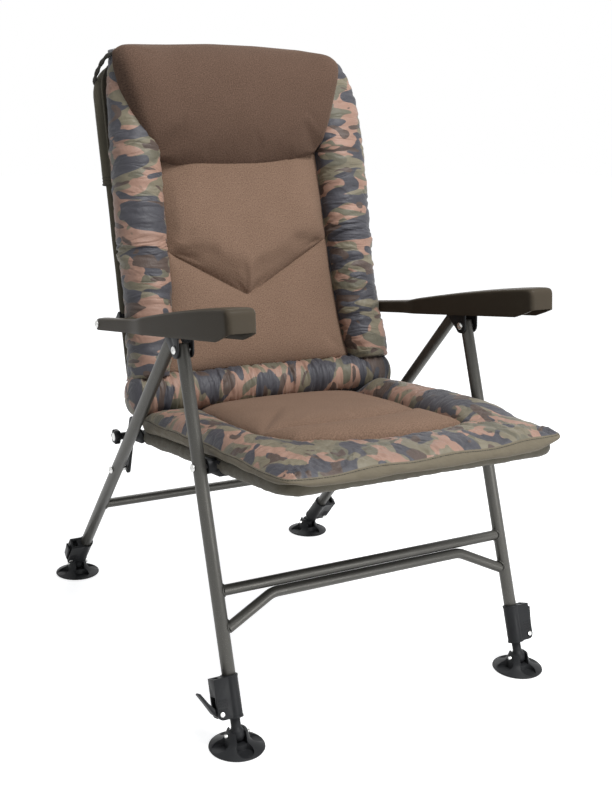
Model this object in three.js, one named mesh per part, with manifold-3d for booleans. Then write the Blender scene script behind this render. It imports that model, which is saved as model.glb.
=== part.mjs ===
// A folding fishing chair: padded seat and back, long moulded arms, four telescopic legs with mud feet.
// Sizes are millimetres. X runs to the sitter's left, Y to the back and Z up from the ground.
// The origin lies on the ground under the middle of the chair.

import * as THREE from 'three';
import { mergeVertices } from 'three/addons/utils/BufferGeometryUtils.js';
import Module from 'manifold-3d';

const wasm = await Module();
wasm.setup();

// Overall layout
const overallDepth = 901;
const overallWidth = 660;
const footSpan = 765;
const armInset = 3;
const seatRailInset = 38;
const backRailInset = 21;
const frontLegLength = 611;
const frontLegLean = 20.2;
const seatPivotDrop = 189.7;
const rearPivotBack = 24;
const rearPivotRise = 29.6;
const knobBehindLeg = 33.3;
const hingeRise = 23.3;
const seatSlope = 7;
const backLean = 15.5;
const gap = 0.3;
const overrun = 20;

// Tubes and bolts
const legTubeRadius = 11;
const legTubeWall = 1.5;
const crossbarRadius = 9;
const frameTubeRadius = 9.5;
const tubeWall = 1.5;
const boltRadius = 4;
const boltHeadRadius = 7;
const boltHeadHeight = 3.4;
const tubeSides = 12;
const smallSides = 8;
const cornerSteps = 3;
const roundUp = 1 / Math.cos(Math.PI / smallSides);
const boltHole = (boltRadius + gap) * roundUp;

// Telescopic legs
const ballRadius = 13;
const ballHeight = 23;
const innerTubeRadius = 8;
const innerTubeWall = 1.5;
const innerTubeTop = 250;
const guideHeight = 20;
const collarBottom = 26;
const collarTop = 93;
const collarRadius = 13.5;
const legTubeBottom = 60;
const legTopMargin = 10;
const ballPinRadius = 3;

// Clamp lever on each leg
const earReach = 32;
const earThickness = 4;
const earTop = 64;
const earFoot = 27.5;
const leverWidth = 15;
const leverPinOut = 25;
const leverPinHeight = 37;
const leverTop = 84;
const leverThickness = 4.2;
const camRadius = 7;
const leverPinRadius = 2.5;
const leverPinHead = 1.4;
const openLeverSplay = 25;

// Mud feet
const padRadius = 45;
const padRim = 3.5;
const cupRadius = 19;
const cupRise = 8;
const cupClearance = 1.1;
const cupWaistRadius = 24;
const cupWaistHeight = 13;
const pocketRadius = 14;
const pocketReach = 29;
const pocketCount = 4;
const neckSlot = 18;

// Crossbars
const upperBarHeight = 223;
const lowerBarEndHeight = 161;
const lowerBarBendInset = 96;
const lowerBarBendRadius = 45;
const rearBarHeight = 246;

// Seat
const seatCornerRadius = 28;
const sleeveRadius = 13;
const sleeveSetback = 57;
const seatTieAhead = 75;
const slingThickness = 3;
const seatOverhang = 12;
const seatThickness = 46;
const seatRearAhead = 80;
const seatSeamShare = 0.4;
const seatRearRollShare = 0.34;
const knobRise = 0;
const saddleFront = 20;
const saddleRear = 70;
const saddleWall = 3;
const saddleFloor = 6;
const saddleBossRadius = 13;

// Back
const backCornerRadius = 60;
const backFrameTop = 655;
const backTubeFoot = 12;
const backTieHeight = 62;
const backSleeveHalf = 12.6;
const backSleeveOverhang = 11;
const backSleeveFoot = 92;
const backSleeveTop = 671;
const backOverhang = 19;
const backCushionTop = 690;
const backPanelThickness = 50;
const backRollExtra = 32;
const pillowFoot = 487;
const pillowTop = 686;
const pillowThickness = 42;
const pillowMargin = 20;
const pillowTopInset = 28;
const pillowFootInset = 94;
const lumbarRadius = 40;
const lumbarFoot = 13;
const lumbarOverhang = 4;
const lumbarNest = 4.5;

// Hinge knob and lock bar
const hingePlateThickness = 4;
const lockBarThickness = 4;
const lockBarBoltDrop = 62.6;
const lockBarSlotLean = 3.5;
const knobStemRadius = 7;
const knobStemLength = 21;
const knobHeadRadius = 14.5;
const knobHeadThickness = 11;
const knobLobes = 6;

// Arms
const armHalfWidth = 25;
const armWall = 3;
const armSlope = 8.3;
const armTipRadius = 11;
const armKink = 192;
const armKinkRise = 13.4;
const armLength = 570;
const armNoseRise = 38.2;
const armInnerStep = 15;
const armOuterStep = 7;
const bracketWall = 3;
const bracketLobeRadius = 14;

// How finely the cushions are divided
const seatColumns = 22;
const seatRows = 18;
const backColumns = 22;
const backRows = 22;
const pillowColumns = 14;
const pillowRows = 8;
const lumbarRings = 14;
const lumbarSides = 14;

// Widths, all from the overall width
const legPlane = overallWidth / 2 - padRadius;
const armPlane = legPlane - armInset;
const seatRail = legPlane - seatRailInset;
const backRail = seatRail - backRailInset;
const lowerBarBend = legPlane - lowerBarBendInset;
const seatHalfWidth = seatRail + seatOverhang;
const backSleeveWidth = seatRail + backSleeveOverhang;
const backHalfWidth = seatRail + backOverhang;
const lumbarHalfLength = backHalfWidth + lumbarOverhang;
const pillowTopHalf = backHalfWidth - pillowTopInset;
const pillowFootHalf = backHalfWidth - pillowFootInset;

const radians = THREE.MathUtils.degToRad;
const sides = [['left', 1], ['right', -1]];

const paint = new THREE.MeshStandardMaterial({ color: 0x57564c, roughness: 0.38, metalness: 0.75 });
const blackPlastic = new THREE.MeshStandardMaterial({ color: 0x1b1c1d, roughness: 0.5, metalness: 0 });
const armPlastic = new THREE.MeshStandardMaterial({ color: 0x453f31, roughness: 0.55, metalness: 0 });
const steel = new THREE.MeshStandardMaterial({ color: 0xc4c5c3, roughness: 0.25, metalness: 1 });
const camouflage = new THREE.MeshStandardMaterial({ color: 0x5a5442, roughness: 0.8, metalness: 0 });
const brownFabric = new THREE.MeshStandardMaterial({ color: 0x574331, roughness: 0.9, metalness: 0 });
const oliveFabric = new THREE.MeshStandardMaterial({ color: 0x45422c, roughness: 0.9, metalness: 0 });

const chair = new THREE.Group();

// Solid modelling helpers

function signedVolume(geometry) {
  const points = geometry.attributes.position;
  const index = geometry.index.array;
  const [a, b, c] = [new THREE.Vector3(), new THREE.Vector3(), new THREE.Vector3()];
  let total = 0;
  for (let i = 0; i < index.length; i += 3) {
    a.fromBufferAttribute(points, index[i]);
    b.fromBufferAttribute(points, index[i + 1]);
    c.fromBufferAttribute(points, index[i + 2]);
    total += a.dot(b.cross(c));
  }
  return total;
}

function toSolid(geometry) {
  const bare = geometry.clone();
  for (const name of ['normal', 'uv']) bare.deleteAttribute(name);
  const merged = mergeVertices(bare);
  const triangles = new Uint32Array(merged.index.array);
  if (signedVolume(merged) < 0) triangles.reverse();
  const positions = new Float32Array(merged.attributes.position.array);
  return new wasm.Manifold(new wasm.Mesh({ numProp: 3, vertProperties: positions, triVerts: triangles }));
}

function toGeometry(solid) {
  const mesh = solid.getMesh();
  const geometry = new THREE.BufferGeometry();
  geometry.setAttribute('position', new THREE.BufferAttribute(new Float32Array(mesh.vertProperties), 3));
  geometry.setIndex(new THREE.BufferAttribute(new Uint32Array(mesh.triVerts), 1));
  return geometry;
}

function join(...geometries) {
  return toGeometry(geometries.map(toSolid).reduce((whole, piece) => whole.add(piece)));
}

function cut(geometry, ...tools) {
  return toGeometry(tools.map(toSolid).reduce((rest, tool) => rest.subtract(tool), toSolid(geometry)));
}

function overlapOf(first, second) {
  return toGeometry(toSolid(first).intersect(toSolid(second)));
}

// Shapes along the three axes

function block(x0, x1, y0, y1, z0, z1) {
  const box = new THREE.BoxGeometry(Math.abs(x1 - x0), Math.abs(y1 - y0), Math.abs(z1 - z0));
  return box.translate((x0 + x1) / 2, (y0 + y1) / 2, (z0 + z1) / 2);
}

function rodAlongX(radius, x0, x1, y, z, count = smallSides) {
  const rod = new THREE.CylinderGeometry(radius, radius, Math.abs(x1 - x0), count);
  return rod.rotateZ(Math.PI / 2).translate((x0 + x1) / 2, y, z);
}

function rodAlongY(radius, y0, y1, x, z, count = smallSides) {
  const rod = new THREE.CylinderGeometry(radius, radius, Math.abs(y1 - y0), count);
  return rod.translate(x, (y0 + y1) / 2, z);
}

function rodAlongZ(radius, z0, z1, x = 0, y = 0, count = tubeSides) {
  const rod = new THREE.CylinderGeometry(radius, radius, Math.abs(z1 - z0), count);
  return rod.rotateX(Math.PI / 2).translate(x, y, (z0 + z1) / 2);
}

// An outline drawn in Y and Z, made into a plate between two places on X.
function plateAcrossX(shape, x0, x1, curveSegments = 6) {
  const plate = new THREE.ExtrudeGeometry(shape, {
    depth: Math.abs(x1 - x0), bevelEnabled: false, curveSegments,
  });
  const turn = new THREE.Matrix4().makeBasis(
    new THREE.Vector3(0, 1, 0), new THREE.Vector3(0, 0, 1), new THREE.Vector3(1, 0, 0),
  );
  return plate.applyMatrix4(turn).translate(Math.min(x0, x1), 0, 0);
}

// An outline drawn in X and Z, made into a plate between two places on Y.
function plateAcrossY(shape, y0, y1, curveSegments = 6) {
  const plate = new THREE.ExtrudeGeometry(shape, {
    depth: Math.abs(y1 - y0), bevelEnabled: false, curveSegments,
  });
  return plate.rotateX(Math.PI / 2).translate(0, Math.max(y0, y1), 0);
}

function revolve(profile, count = tubeSides) {
  const points = profile.map(([radius, height]) => new THREE.Vector2(radius, height));
  return new THREE.LatheGeometry(points, count).rotateX(Math.PI / 2);
}

// The tight outline round a set of circles, each [y, z, radius].
function outlineRound(circles, count = smallSides) {
  const points = circles.flatMap(([y, z, radius]) => Array.from({ length: count }, (_, i) => {
    const angle = (i / count) * 2 * Math.PI;
    return new THREE.Vector2(y + radius * Math.cos(angle), z + radius * Math.sin(angle));
  }));
  points.sort((a, b) => a.x - b.x || a.y - b.y);
  const half = (list) => {
    const chain = [];
    for (const point of list) {
      while (chain.length > 1) {
        const [a, b] = chain.slice(-2);
        if ((b.x - a.x) * (point.y - a.y) - (b.y - a.y) * (point.x - a.x) > 0) break;
        chain.pop();
      }
      chain.push(point);
    }
    return chain.slice(0, -1);
  };
  return new THREE.Shape([...half(points), ...half([...points].reverse())]);
}

// A tube's route through its own points, with no respacing between them.
class Route extends THREE.Curve {
  constructor(points) {
    super();
    this.points = points;
  }

  getPoint(share) {
    return this.points[Math.round(share * (this.points.length - 1))].clone();
  }

  getTangent(share) {
    const at = Math.round(share * (this.points.length - 1));
    const here = this.points[at];
    const before = here.clone().sub(this.points[Math.max(at - 1, 0)]).normalize();
    const after = this.points[Math.min(at + 1, this.points.length - 1)].clone().sub(here).normalize();
    return before.add(after).normalize();
  }

  getPointAt(share) {
    return this.getPoint(share);
  }

  getTangentAt(share) {
    return this.getTangent(share);
  }

  getSpacedPoints() {
    return this.points.map((point) => point.clone());
  }
}

// Rounds each inner corner of a route with an arc.
function bend(points, radius, steps = cornerSteps) {
  const route = [points[0]];
  for (let i = 1; i < points.length - 1; i += 1) {
    const corner = points[i];
    const before = points[i - 1].clone().sub(corner).normalize();
    const after = points[i + 1].clone().sub(corner).normalize();
    const half = before.angleTo(after) / 2;
    const toCentre = before.clone().add(after).normalize();
    const centre = corner.clone().addScaledVector(toCentre, radius / Math.sin(half));
    const start = corner.clone().addScaledVector(before, radius / Math.tan(half)).sub(centre);
    const end = corner.clone().addScaledVector(after, radius / Math.tan(half)).sub(centre);
    const sweep = start.angleTo(end);
    for (let k = 0; k <= steps; k += 1) {
      const share = k / steps;
      const fromStart = Math.sin((1 - share) * sweep) / Math.sin(sweep);
      const fromEnd = Math.sin(share * sweep) / Math.sin(sweep);
      route.push(centre.clone().addScaledVector(start, fromStart).addScaledVector(end, fromEnd));
    }
  }
  route.push(points[points.length - 1]);
  return route;
}

function ringShape(outer, inner) {
  const shape = new THREE.Shape().absarc(0, 0, outer, 0, 2 * Math.PI);
  if (inner > 0) shape.holes.push(new THREE.Path().absarc(0, 0, inner, 0, 2 * Math.PI, true));
  return shape;
}

function tubeAlong(points, outer, inner = 0, count = tubeSides) {
  return new THREE.ExtrudeGeometry(ringShape(outer, inner), {
    steps: points.length - 1, extrudePath: new Route(points), curveSegments: count / 2,
  });
}

function straightTube(outer, inner, z0, z1, count = tubeSides) {
  const tube = new THREE.ExtrudeGeometry(ringShape(outer, inner), {
    depth: z1 - z0, bevelEnabled: false, curveSegments: count / 2,
  });
  return tube.translate(0, 0, z0);
}

function group(parent, x, y, z, tiltX = 0, turnZ = 0) {
  const frame = new THREE.Group();
  frame.position.set(x, y, z);
  frame.rotation.set(tiltX, 0, turnZ);
  parent.add(frame);
  return frame;
}

function place(parent, name, geometry, material) {
  const mesh = new THREE.Mesh(geometry, material);
  mesh.name = name;
  parent.add(mesh);
  return mesh;
}

// Where the pivots lie, in the chair's own Y and Z

const frontBall = new THREE.Vector2(overallDepth / 2 - padRadius - footSpan, ballHeight);
const rearBall = new THREE.Vector2(overallDepth / 2 - padRadius, ballHeight);
const frontLegTilt = -radians(frontLegLean);
const upFrontLeg = new THREE.Vector2(Math.sin(radians(frontLegLean)), Math.cos(radians(frontLegLean)));
const armPivot = frontBall.clone().addScaledVector(upFrontLeg, frontLegLength);
const seatPivot = armPivot.clone().addScaledVector(upFrontLeg, -seatPivotDrop);
const rearPivot = armPivot.clone().add(new THREE.Vector2(rearPivotBack, rearPivotRise));
const seatTilt = -radians(seatSlope);
const rearLegLength = rearPivot.distanceTo(rearBall);
const rearLegTilt = Math.atan2(rearBall.x - rearPivot.x, rearPivot.y - rearBall.y);

// A point of the chair's Y and Z, seen in a frame that stands at origin and is tilted about X.
function seenFrom(origin, tilt, point) {
  const offset = point.clone().sub(origin);
  return offset.rotateAround(new THREE.Vector2(), -tilt);
}

// The seat rails run back until their knobs stand a set way behind the rear legs.
const alongSeat = new THREE.Vector2(1, 0).rotateAround(new THREE.Vector2(), seatTilt);
const behindLeg = rearPivot.clone().sub(rearBall).normalize().rotateAround(new THREE.Vector2(), -Math.PI / 2);
const legToPivot = seatPivot.clone().sub(rearBall).dot(behindLeg);
const seatHinge = new THREE.Vector2((knobBehindLeg - legToPivot) / alongSeat.dot(behindLeg), hingeRise);

// A point of the seat's own Y and Z, placed in the chair's.
function ofSeat(y, z) {
  return new THREE.Vector2(y, z).rotateAround(new THREE.Vector2(), seatTilt).add(seatPivot);
}

const hinge = ofSeat(seatHinge.x, seatHinge.y);
const knobPoint = ofSeat(seatHinge.x, knobRise);
const armEnd = hinge.clone().add(armPivot).sub(seatPivot);

// Soft forms

// From 0 at start to 1 at end, eased at both, where start may be the larger one.
function smooth(start, end, value) {
  const share = THREE.MathUtils.clamp((value - start) / (end - start), 0, 1);
  return share * share * (3 - 2 * share);
}

const spread = (share) => -Math.cos(share * Math.PI);

// A cushion over the square from -1 to 1 each way. place(u, v) gives the middle of its edge seam,
// and rise and fall how far its two faces stand from there. Both faces draw in to one seam all round.
function cushion(across, along, middle, rise, fall, direction) {
  const count = (across + 1) * (along + 1);
  const positions = [];
  const index = [];
  const faceRows = [];
  for (const [face, depth] of [[0, rise], [1, fall]]) {
    const rows = [];
    for (let j = 0; j <= along; j += 1) {
      const row = [];
      for (let i = 0; i <= across; i += 1) {
        const edge = i === 0 || j === 0 || i === across || j === along;
        if (face === 1 && edge) {
          row.push(faceRows[0][j][i]);
        } else {
          const u = spread(i / across);
          const v = spread(j / along);
          const point = middle(u, v).addScaledVector(direction, edge ? 0 : depth(u, v));
          row.push(positions.length / 3);
          positions.push(point.x, point.y, point.z);
        }
      }
      rows.push(row);
    }
    faceRows.push(rows);
    for (let j = 0; j < along; j += 1) {
      for (let i = 0; i < across; i += 1) {
        const [a, b, c, d] = [rows[j][i], rows[j][i + 1], rows[j + 1][i + 1], rows[j + 1][i]];
        index.push(...(face === 0 ? [a, b, c, a, c, d] : [a, c, b, a, d, c]));
      }
    }
  }
  if (positions.length / 3 > 2 * count) throw new Error('a cushion has lost its shared edge');
  const geometry = new THREE.BufferGeometry();
  geometry.setAttribute('position', new THREE.BufferAttribute(new Float32Array(positions), 3));
  geometry.setIndex(index);
  if (signedVolume(geometry) < 0) geometry.setIndex(index.reverse());
  return geometry;
}

// How full a cushion is: full inside, drawn in towards its edges.
function fullness(u, v, sharpness) {
  const drawn = (share) => Math.sqrt(Math.max(0, 1 - Math.abs(share) ** sharpness));
  return drawn(u) * drawn(v);
}

// A narrow stitched valley, 1 on its line and fading on both sides.
function valley(distance, width) {
  return Math.exp(-((distance / width) ** 2));
}

// Legs

function footGeometry() {
  const cavity = ballRadius + cupClearance;
  const rimRadius = Math.sqrt(cavity ** 2 - cupRise ** 2);
  const floor = -ballHeight;
  const profile = [[0, floor], [padRadius - padRim / 2, floor], [padRadius, floor + padRim / 2]];
  profile.push([padRadius - padRim / 2, floor + padRim], [cupWaistRadius, floor + cupWaistHeight]);
  profile.push([cupRadius, -cupRise / 4], [cupRadius - padRim, cupRise], [rimRadius, cupRise]);
  const arcSteps = 4;
  const start = Math.asin(cupRise / cavity);
  for (let i = 1; i <= arcSteps; i += 1) {
    const angle = start - (i / arcSteps) * (start + Math.PI / 2);
    profile.push([i === arcSteps ? 0 : cavity * Math.cos(angle), cavity * Math.sin(angle)]);
  }
  const body = revolve(profile, 16);
  const slotFloor = -ballHeight + cupWaistHeight;
  const slot = block(-neckSlot / 2, neckSlot / 2, -padRadius, padRadius, slotFloor, cupRise + overrun);
  const pockets = Array.from({ length: pocketCount }, (_, i) => {
    const angle = (i / pocketCount) * 2 * Math.PI;
    const [x, y] = [pocketReach * Math.cos(angle), pocketReach * Math.sin(angle)];
    return rodAlongZ(pocketRadius, floor + padRim, cupRise + overrun, x, y, smallSides);
  });
  const cupKeeper = rodAlongZ(cupRadius, floor, cupRise + overrun);
  const shapedPockets = pockets.map((pocket) => cut(pocket, cupKeeper));
  const bored = cut(body, slot, ...shapedPockets);
  const pin = rodAlongX(ballPinRadius, -cupRadius - padRim, cupRadius + padRim, 0, 0);
  return join(bored, pin);
}

function extensionGeometry() {
  const bore = innerTubeRadius - innerTubeWall;
  const guideRadius = legTubeRadius - legTubeWall - gap;
  const profile = [[0, -ballRadius]];
  const arcSteps = 4;
  const neckAngle = Math.acos(innerTubeRadius / ballRadius);
  for (let i = 1; i <= arcSteps; i += 1) {
    const angle = -Math.PI / 2 + (i / arcSteps) * (Math.PI / 2 + neckAngle);
    profile.push([ballRadius * Math.cos(angle), ballRadius * Math.sin(angle)]);
  }
  profile.push([innerTubeRadius, innerTubeTop - guideHeight], [guideRadius, innerTubeTop - guideHeight]);
  profile.push([guideRadius, innerTubeTop], [bore, innerTubeTop], [bore, collarBottom], [0, collarBottom]);
  const pinReach = ballRadius + overrun;
  const pinHole = rodAlongX((ballPinRadius + gap) * roundUp, -pinReach, pinReach, 0, 0);
  return cut(revolve(profile), pinHole);
}

function clampGeometry() {
  const body = rodAlongZ(collarRadius, collarBottom, collarTop, 0, 0, 14);
  const root = collarRadius / 2;
  const earInner = leverWidth / 2 + gap;
  const outline = new THREE.Shape([
    [root, earFoot], [leverPinOut - camRadius / 2, earFoot],
    [earReach - camRadius / 3, leverPinHeight - camRadius],
    [earReach, leverPinHeight], [earReach, earTop], [root, earTop],
  ].map(([x, z]) => new THREE.Vector2(x, z)));
  const ears = [-1, 1].map((end) => plateAcrossY(outline, end * earInner, end * (earInner + earThickness)));
  const blockHalf = earInner + earThickness;
  const headTop = collarTop - leverPinHead;
  const head = block(root, earReach - 1.5 * gap, -blockHalf, blockHalf, earTop - gap, headTop);
  const solid = join(body, ...ears, head);
  const lowerBore = rodAlongZ(innerTubeRadius + gap, collarBottom - overrun, legTubeBottom);
  const upperBore = rodAlongZ(legTubeRadius + gap, legTubeBottom - gap, collarTop + overrun);
  const reach = blockHalf + overrun;
  const pinHole = rodAlongY((leverPinRadius + gap) * roundUp, -reach, reach, leverPinOut, leverPinHeight);
  return cut(solid, lowerBore, upperBore, pinHole);
}

function leverGeometry() {
  const bladeIn = earReach + 2 * gap;
  const bladeOut = bladeIn + leverThickness;
  const shape = new THREE.Shape();
  shape.absarc(leverPinOut, leverPinHeight, camRadius, radians(160), radians(350));
  shape.lineTo(bladeOut - leverThickness / 3, leverPinHeight + camRadius);
  shape.lineTo(bladeOut, earTop);
  shape.lineTo(bladeOut + leverThickness / 2, leverTop);
  shape.lineTo(bladeOut - leverThickness / 3, leverTop);
  shape.lineTo(bladeIn, earTop);
  shape.lineTo(leverPinOut + camRadius / 2, leverPinHeight + 1.7 * camRadius);
  const half = leverWidth / 2 - gap;
  const lever = plateAcrossY(shape, -half, half, 5);
  const pinRoom = (leverPinRadius + gap) * roundUp;
  return cut(lever, rodAlongY(pinRoom, -leverWidth, leverWidth, leverPinOut, leverPinHeight));
}

function leverPinGeometry() {
  const ear = leverWidth / 2 + gap + earThickness + gap;
  const reach = ear + leverPinHead;
  const shank = rodAlongY(leverPinRadius, -reach, reach, leverPinOut, leverPinHeight);
  const heads = [-1, 1].map((end) => (
    rodAlongY(1.6 * leverPinRadius, end * ear, end * (ear + leverPinHead), leverPinOut, leverPinHeight)
  ));
  return join(shank, ...heads);
}

function legTube(length, pivots) {
  const tube = straightTube(legTubeRadius, legTubeRadius - legTubeWall, legTubeBottom, length + legTopMargin);
  const reach = legTubeRadius + overrun;
  return cut(tube, ...pivots.map((height) => rodAlongX(boltHole, -reach, reach, 0, height)));
}

function addLeg(end, ball, tilt, length, pivots) {
  const foot = footGeometry();
  const extension = extensionGeometry();
  const clamp = clampGeometry();
  const lever = leverGeometry();
  const leverPin = leverPinGeometry();
  const tube = legTube(length, pivots);
  for (const [side, sign] of sides) {
    const ground = group(chair, sign * legPlane, ball.x, ball.y);
    place(ground, `foot_${end}_${side}`, foot, blackPlastic);
    const leg = group(chair, sign * legPlane, ball.x, ball.y, tilt);
    place(leg, `${end}_leg_${side}`, tube, paint);
    const faced = group(leg, 0, 0, 0, 0, sign > 0 ? 0 : Math.PI);
    place(faced, `leg_extension_${end}_${side}`, extension, blackPlastic);
    place(faced, `leg_clamp_${end}_${side}`, clamp, blackPlastic);
    place(faced, `cam_pin_${end}_${side}`, leverPin, steel);
    const splay = end === 'front' && side === 'right' ? radians(openLeverSplay) : 0;
    const pivot = group(faced, leverPinOut, 0, leverPinHeight);
    pivot.rotation.y = splay;
    const handle = place(pivot, `cam_lever_${end}_${side}`, lever, blackPlastic);
    handle.position.set(-leverPinOut, 0, -leverPinHeight);
  }
}

// A bar between the two legs of a pair, its ends coped to sit round the leg tubes.
function copedBar(points) {
  const bar = tubeAlong(points, crossbarRadius, crossbarRadius - tubeWall);
  const legs = [-1, 1].map((sign) => {
    const low = lowerBarEndHeight - 2 * overrun;
    return rodAlongZ(legTubeRadius + gap, low, rearBarHeight + 2 * overrun, sign * legPlane, 0);
  });
  return cut(bar, ...legs);
}

function barPoints(list) {
  return list.map(([x, z]) => new THREE.Vector3(x, 0, z));
}

addLeg('front', frontBall, frontLegTilt, frontLegLength, [frontLegLength, frontLegLength - seatPivotDrop]);
addLeg('rear', rearBall, rearLegTilt, rearLegLength, [
  rearLegLength, seenFrom(rearBall, rearLegTilt, knobPoint).y - lockBarBoltDrop,
]);

const frontLegs = group(chair, 0, frontBall.x, frontBall.y, frontLegTilt);
const rearLegs = group(chair, 0, rearBall.x, rearBall.y, rearLegTilt);
const barReach = legPlane - legTubeRadius / 2;
const lowerBarHeight = upperBarHeight - 2 * crossbarRadius - gap;
const upperBar = copedBar(barPoints([[-barReach, upperBarHeight], [barReach, upperBarHeight]]));
const lowerBar = copedBar(bend(barPoints([
  [-barReach, lowerBarEndHeight], [-lowerBarBend, lowerBarHeight],
  [lowerBarBend, lowerBarHeight], [barReach, lowerBarEndHeight],
]), lowerBarBendRadius, 2));
const rearBar = copedBar(barPoints([[-barReach, rearBarHeight], [barReach, rearBarHeight]]));
place(frontLegs, 'front_crossbar_upper', upperBar, paint);
place(frontLegs, 'front_crossbar_lower', lowerBar, paint);
place(rearLegs, 'rear_crossbar', rearBar, paint);

// Seat

const seat = group(chair, 0, seatPivot.x, seatPivot.y, seatTilt);
const seatFront = (seatPivot.x + overallDepth / 2) / Math.cos(radians(seatSlope));
const frontTube = seatFront - sleeveRadius - padRim;
const railEnd = seatHinge.x + sleeveRadius;
const sleeveEnd = seatHinge.x - sleeveSetback;
const tieAt = seatHinge.x - seatTieAhead;

function seatLoop(rear) {
  return bend([
    new THREE.Vector3(seatRail, rear, 0), new THREE.Vector3(seatRail, -frontTube, 0),
    new THREE.Vector3(-seatRail, -frontTube, 0), new THREE.Vector3(-seatRail, rear, 0),
  ], seatCornerRadius);
}

function seatFrameGeometry() {
  const loop = tubeAlong(seatLoop(railEnd), frameTubeRadius);
  const tie = rodAlongX(frameTubeRadius, -seatRail, seatRail, tieAt, 0, tubeSides);
  const bore = tubeAlong(seatLoop(railEnd + overrun), frameTubeRadius - tubeWall);
  const reach = [-seatRail - overrun, seatRail + overrun];
  const bolts = rodAlongX(boltHole, ...reach, 0, 0);
  const studs = rodAlongX(boltHole, ...reach, seatHinge.x, knobRise);
  return cut(join(loop, tie), bore, bolts, studs);
}

function seatSlingGeometry() {
  const sleeve = tubeAlong(seatLoop(sleeveEnd), sleeveRadius);
  const top = sleeveRadius - gap;
  const sheet = block(-seatRail, seatRail, -frontTube, sleeveEnd, top - slingThickness, top);
  const room = frameTubeRadius + gap;
  const passage = tubeAlong(seatLoop(sleeveEnd + overrun), room);
  const tiePassage = rodAlongX(room, -seatRail, seatRail, tieAt, 0, tubeSides);
  const notches = [-1, 1].map((sign) => block(
    sign * (seatRail - sleeveRadius - overrun), sign * (seatRail + sleeveRadius + overrun),
    -saddleFront - gap, saddleRear + gap, -sleeveRadius - overrun, top - slingThickness,
  ));
  return cut(join(sleeve, sheet), passage, tiePassage, ...notches);
}

function saddleGeometry(sign) {
  const inner = frameTubeRadius + gap;
  const outer = inner + saddleWall;
  const body = block(
    sign * (seatRail - outer), sign * (seatRail + outer), -saddleFront, saddleRear,
    -inner - saddleFloor, frameTubeRadius - gap,
  );
  const room = block(
    sign * (seatRail - inner), sign * (seatRail + inner), -saddleFront - overrun, saddleRear + overrun,
    -inner, frameTubeRadius + overrun,
  );
  const bossEnd = legPlane - legTubeRadius - gap;
  const boss = rodAlongX(saddleBossRadius, sign * (seatRail + inner + gap), sign * bossEnd, 0, 0, tubeSides);
  const bolt = rodAlongX(boltHole, sign * (seatRail - outer - overrun), sign * (bossEnd + overrun), 0, 0);
  return cut(join(cut(body, room), boss), bolt);
}

// A bolt on one side: a shank from inside to outside with a round head at each place in heads.
function boltGeometry(sign, inside, outside, heads, radius = boltRadius) {
  const shank = rodAlongX(radius, sign * inside, sign * outside, 0, 0);
  const rounds = heads.map(([from, to, size]) => rodAlongX(size, sign * from, sign * to, 0, 0));
  return join(shank, ...rounds);
}

// The plate on the end of a seat rail, with the bush and pin that the back turns on.
function hingePlateGeometry(sign) {
  const face = seatRail + frameTubeRadius + gap;
  const edge = frameTubeRadius + 2 * gap;
  const outline = outlineRound([
    [sleeveEnd + edge + gap, 0, edge], [railEnd, 0, edge], [seatHinge.x, seatHinge.y, edge + tubeWall],
  ]);
  const plate = plateAcrossX(outline, sign * face, sign * (face + hingePlateThickness));
  const bushStart = backRail + frameTubeRadius + gap;
  const pinEnd = backRail - frameTubeRadius - gap;
  const [y, z] = [seatHinge.x, seatHinge.y];
  const bush = rodAlongX(2 * boltRadius, sign * bushStart, sign * (face + hingePlateThickness / 2), y, z);
  const pin = rodAlongX(boltRadius, sign * (pinEnd - boltHeadHeight), sign * (bushStart + overrun / 2), y, z);
  const head = rodAlongX(boltHeadRadius, sign * (pinEnd - boltHeadHeight), sign * pinEnd, y, z);
  const hole = rodAlongX(boltHole, sign * bushStart, sign * (face + overrun), seatHinge.x, knobRise);
  return cut(join(plate, bush, pin, head), hole);
}

function seatCushionGeometry() {
  const rear = seatHinge.x - seatRearAhead;
  const low = sleeveRadius + gap;
  const rollShare = 0.655;
  const seamWidthShare = 0.07;
  const seamHeight = low + seatThickness * seatSeamShare;
  const front = seatFront + seamHeight * Math.tan(radians(seatSlope));
  const middle = (u, v) => new THREE.Vector3(
    u * seatHalfWidth, THREE.MathUtils.lerp(-front, rear, (v + 1) / 2), seamHeight,
  );
  const rise = (u, v) => {
    const curvedSeam = -0.1 + 0.83 * u * u;
    const sideSeam = valley(Math.abs(u) - rollShare, seamWidthShare);
    const beside = smooth(rollShare, rollShare + seamWidthShare, Math.abs(u));
    const inside = (1 - beside) * smooth(-0.6, -0.5, v);
    const frontSeam = valley(v + 0.5, seamWidthShare) * (1 - beside);
    const crossSeam = valley(v - curvedSeam, 1.4 * seamWidthShare) * inside;
    const dip = Math.max(0.34 * sideSeam * smooth(-0.62, -0.5, v), 0.34 * frontSeam, 0.2 * crossSeam);
    const behind = THREE.MathUtils.lerp(seatRearRollShare, 0.16, inside) * smooth(-0.4, 0.8, v);
    const crown = THREE.MathUtils.lerp(0.56, 0.4, inside) + 0.06 * (1 - v * v) + behind;
    return seatThickness * fullness(u, v, 7) * (crown - dip);
  };
  const fall = (u, v) => -seatThickness * seatSeamShare * Math.min(1, 1.3 * fullness(u, v, 9));
  return cushion(seatColumns, seatRows, middle, rise, fall, new THREE.Vector3(0, 0, 1));
}

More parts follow.
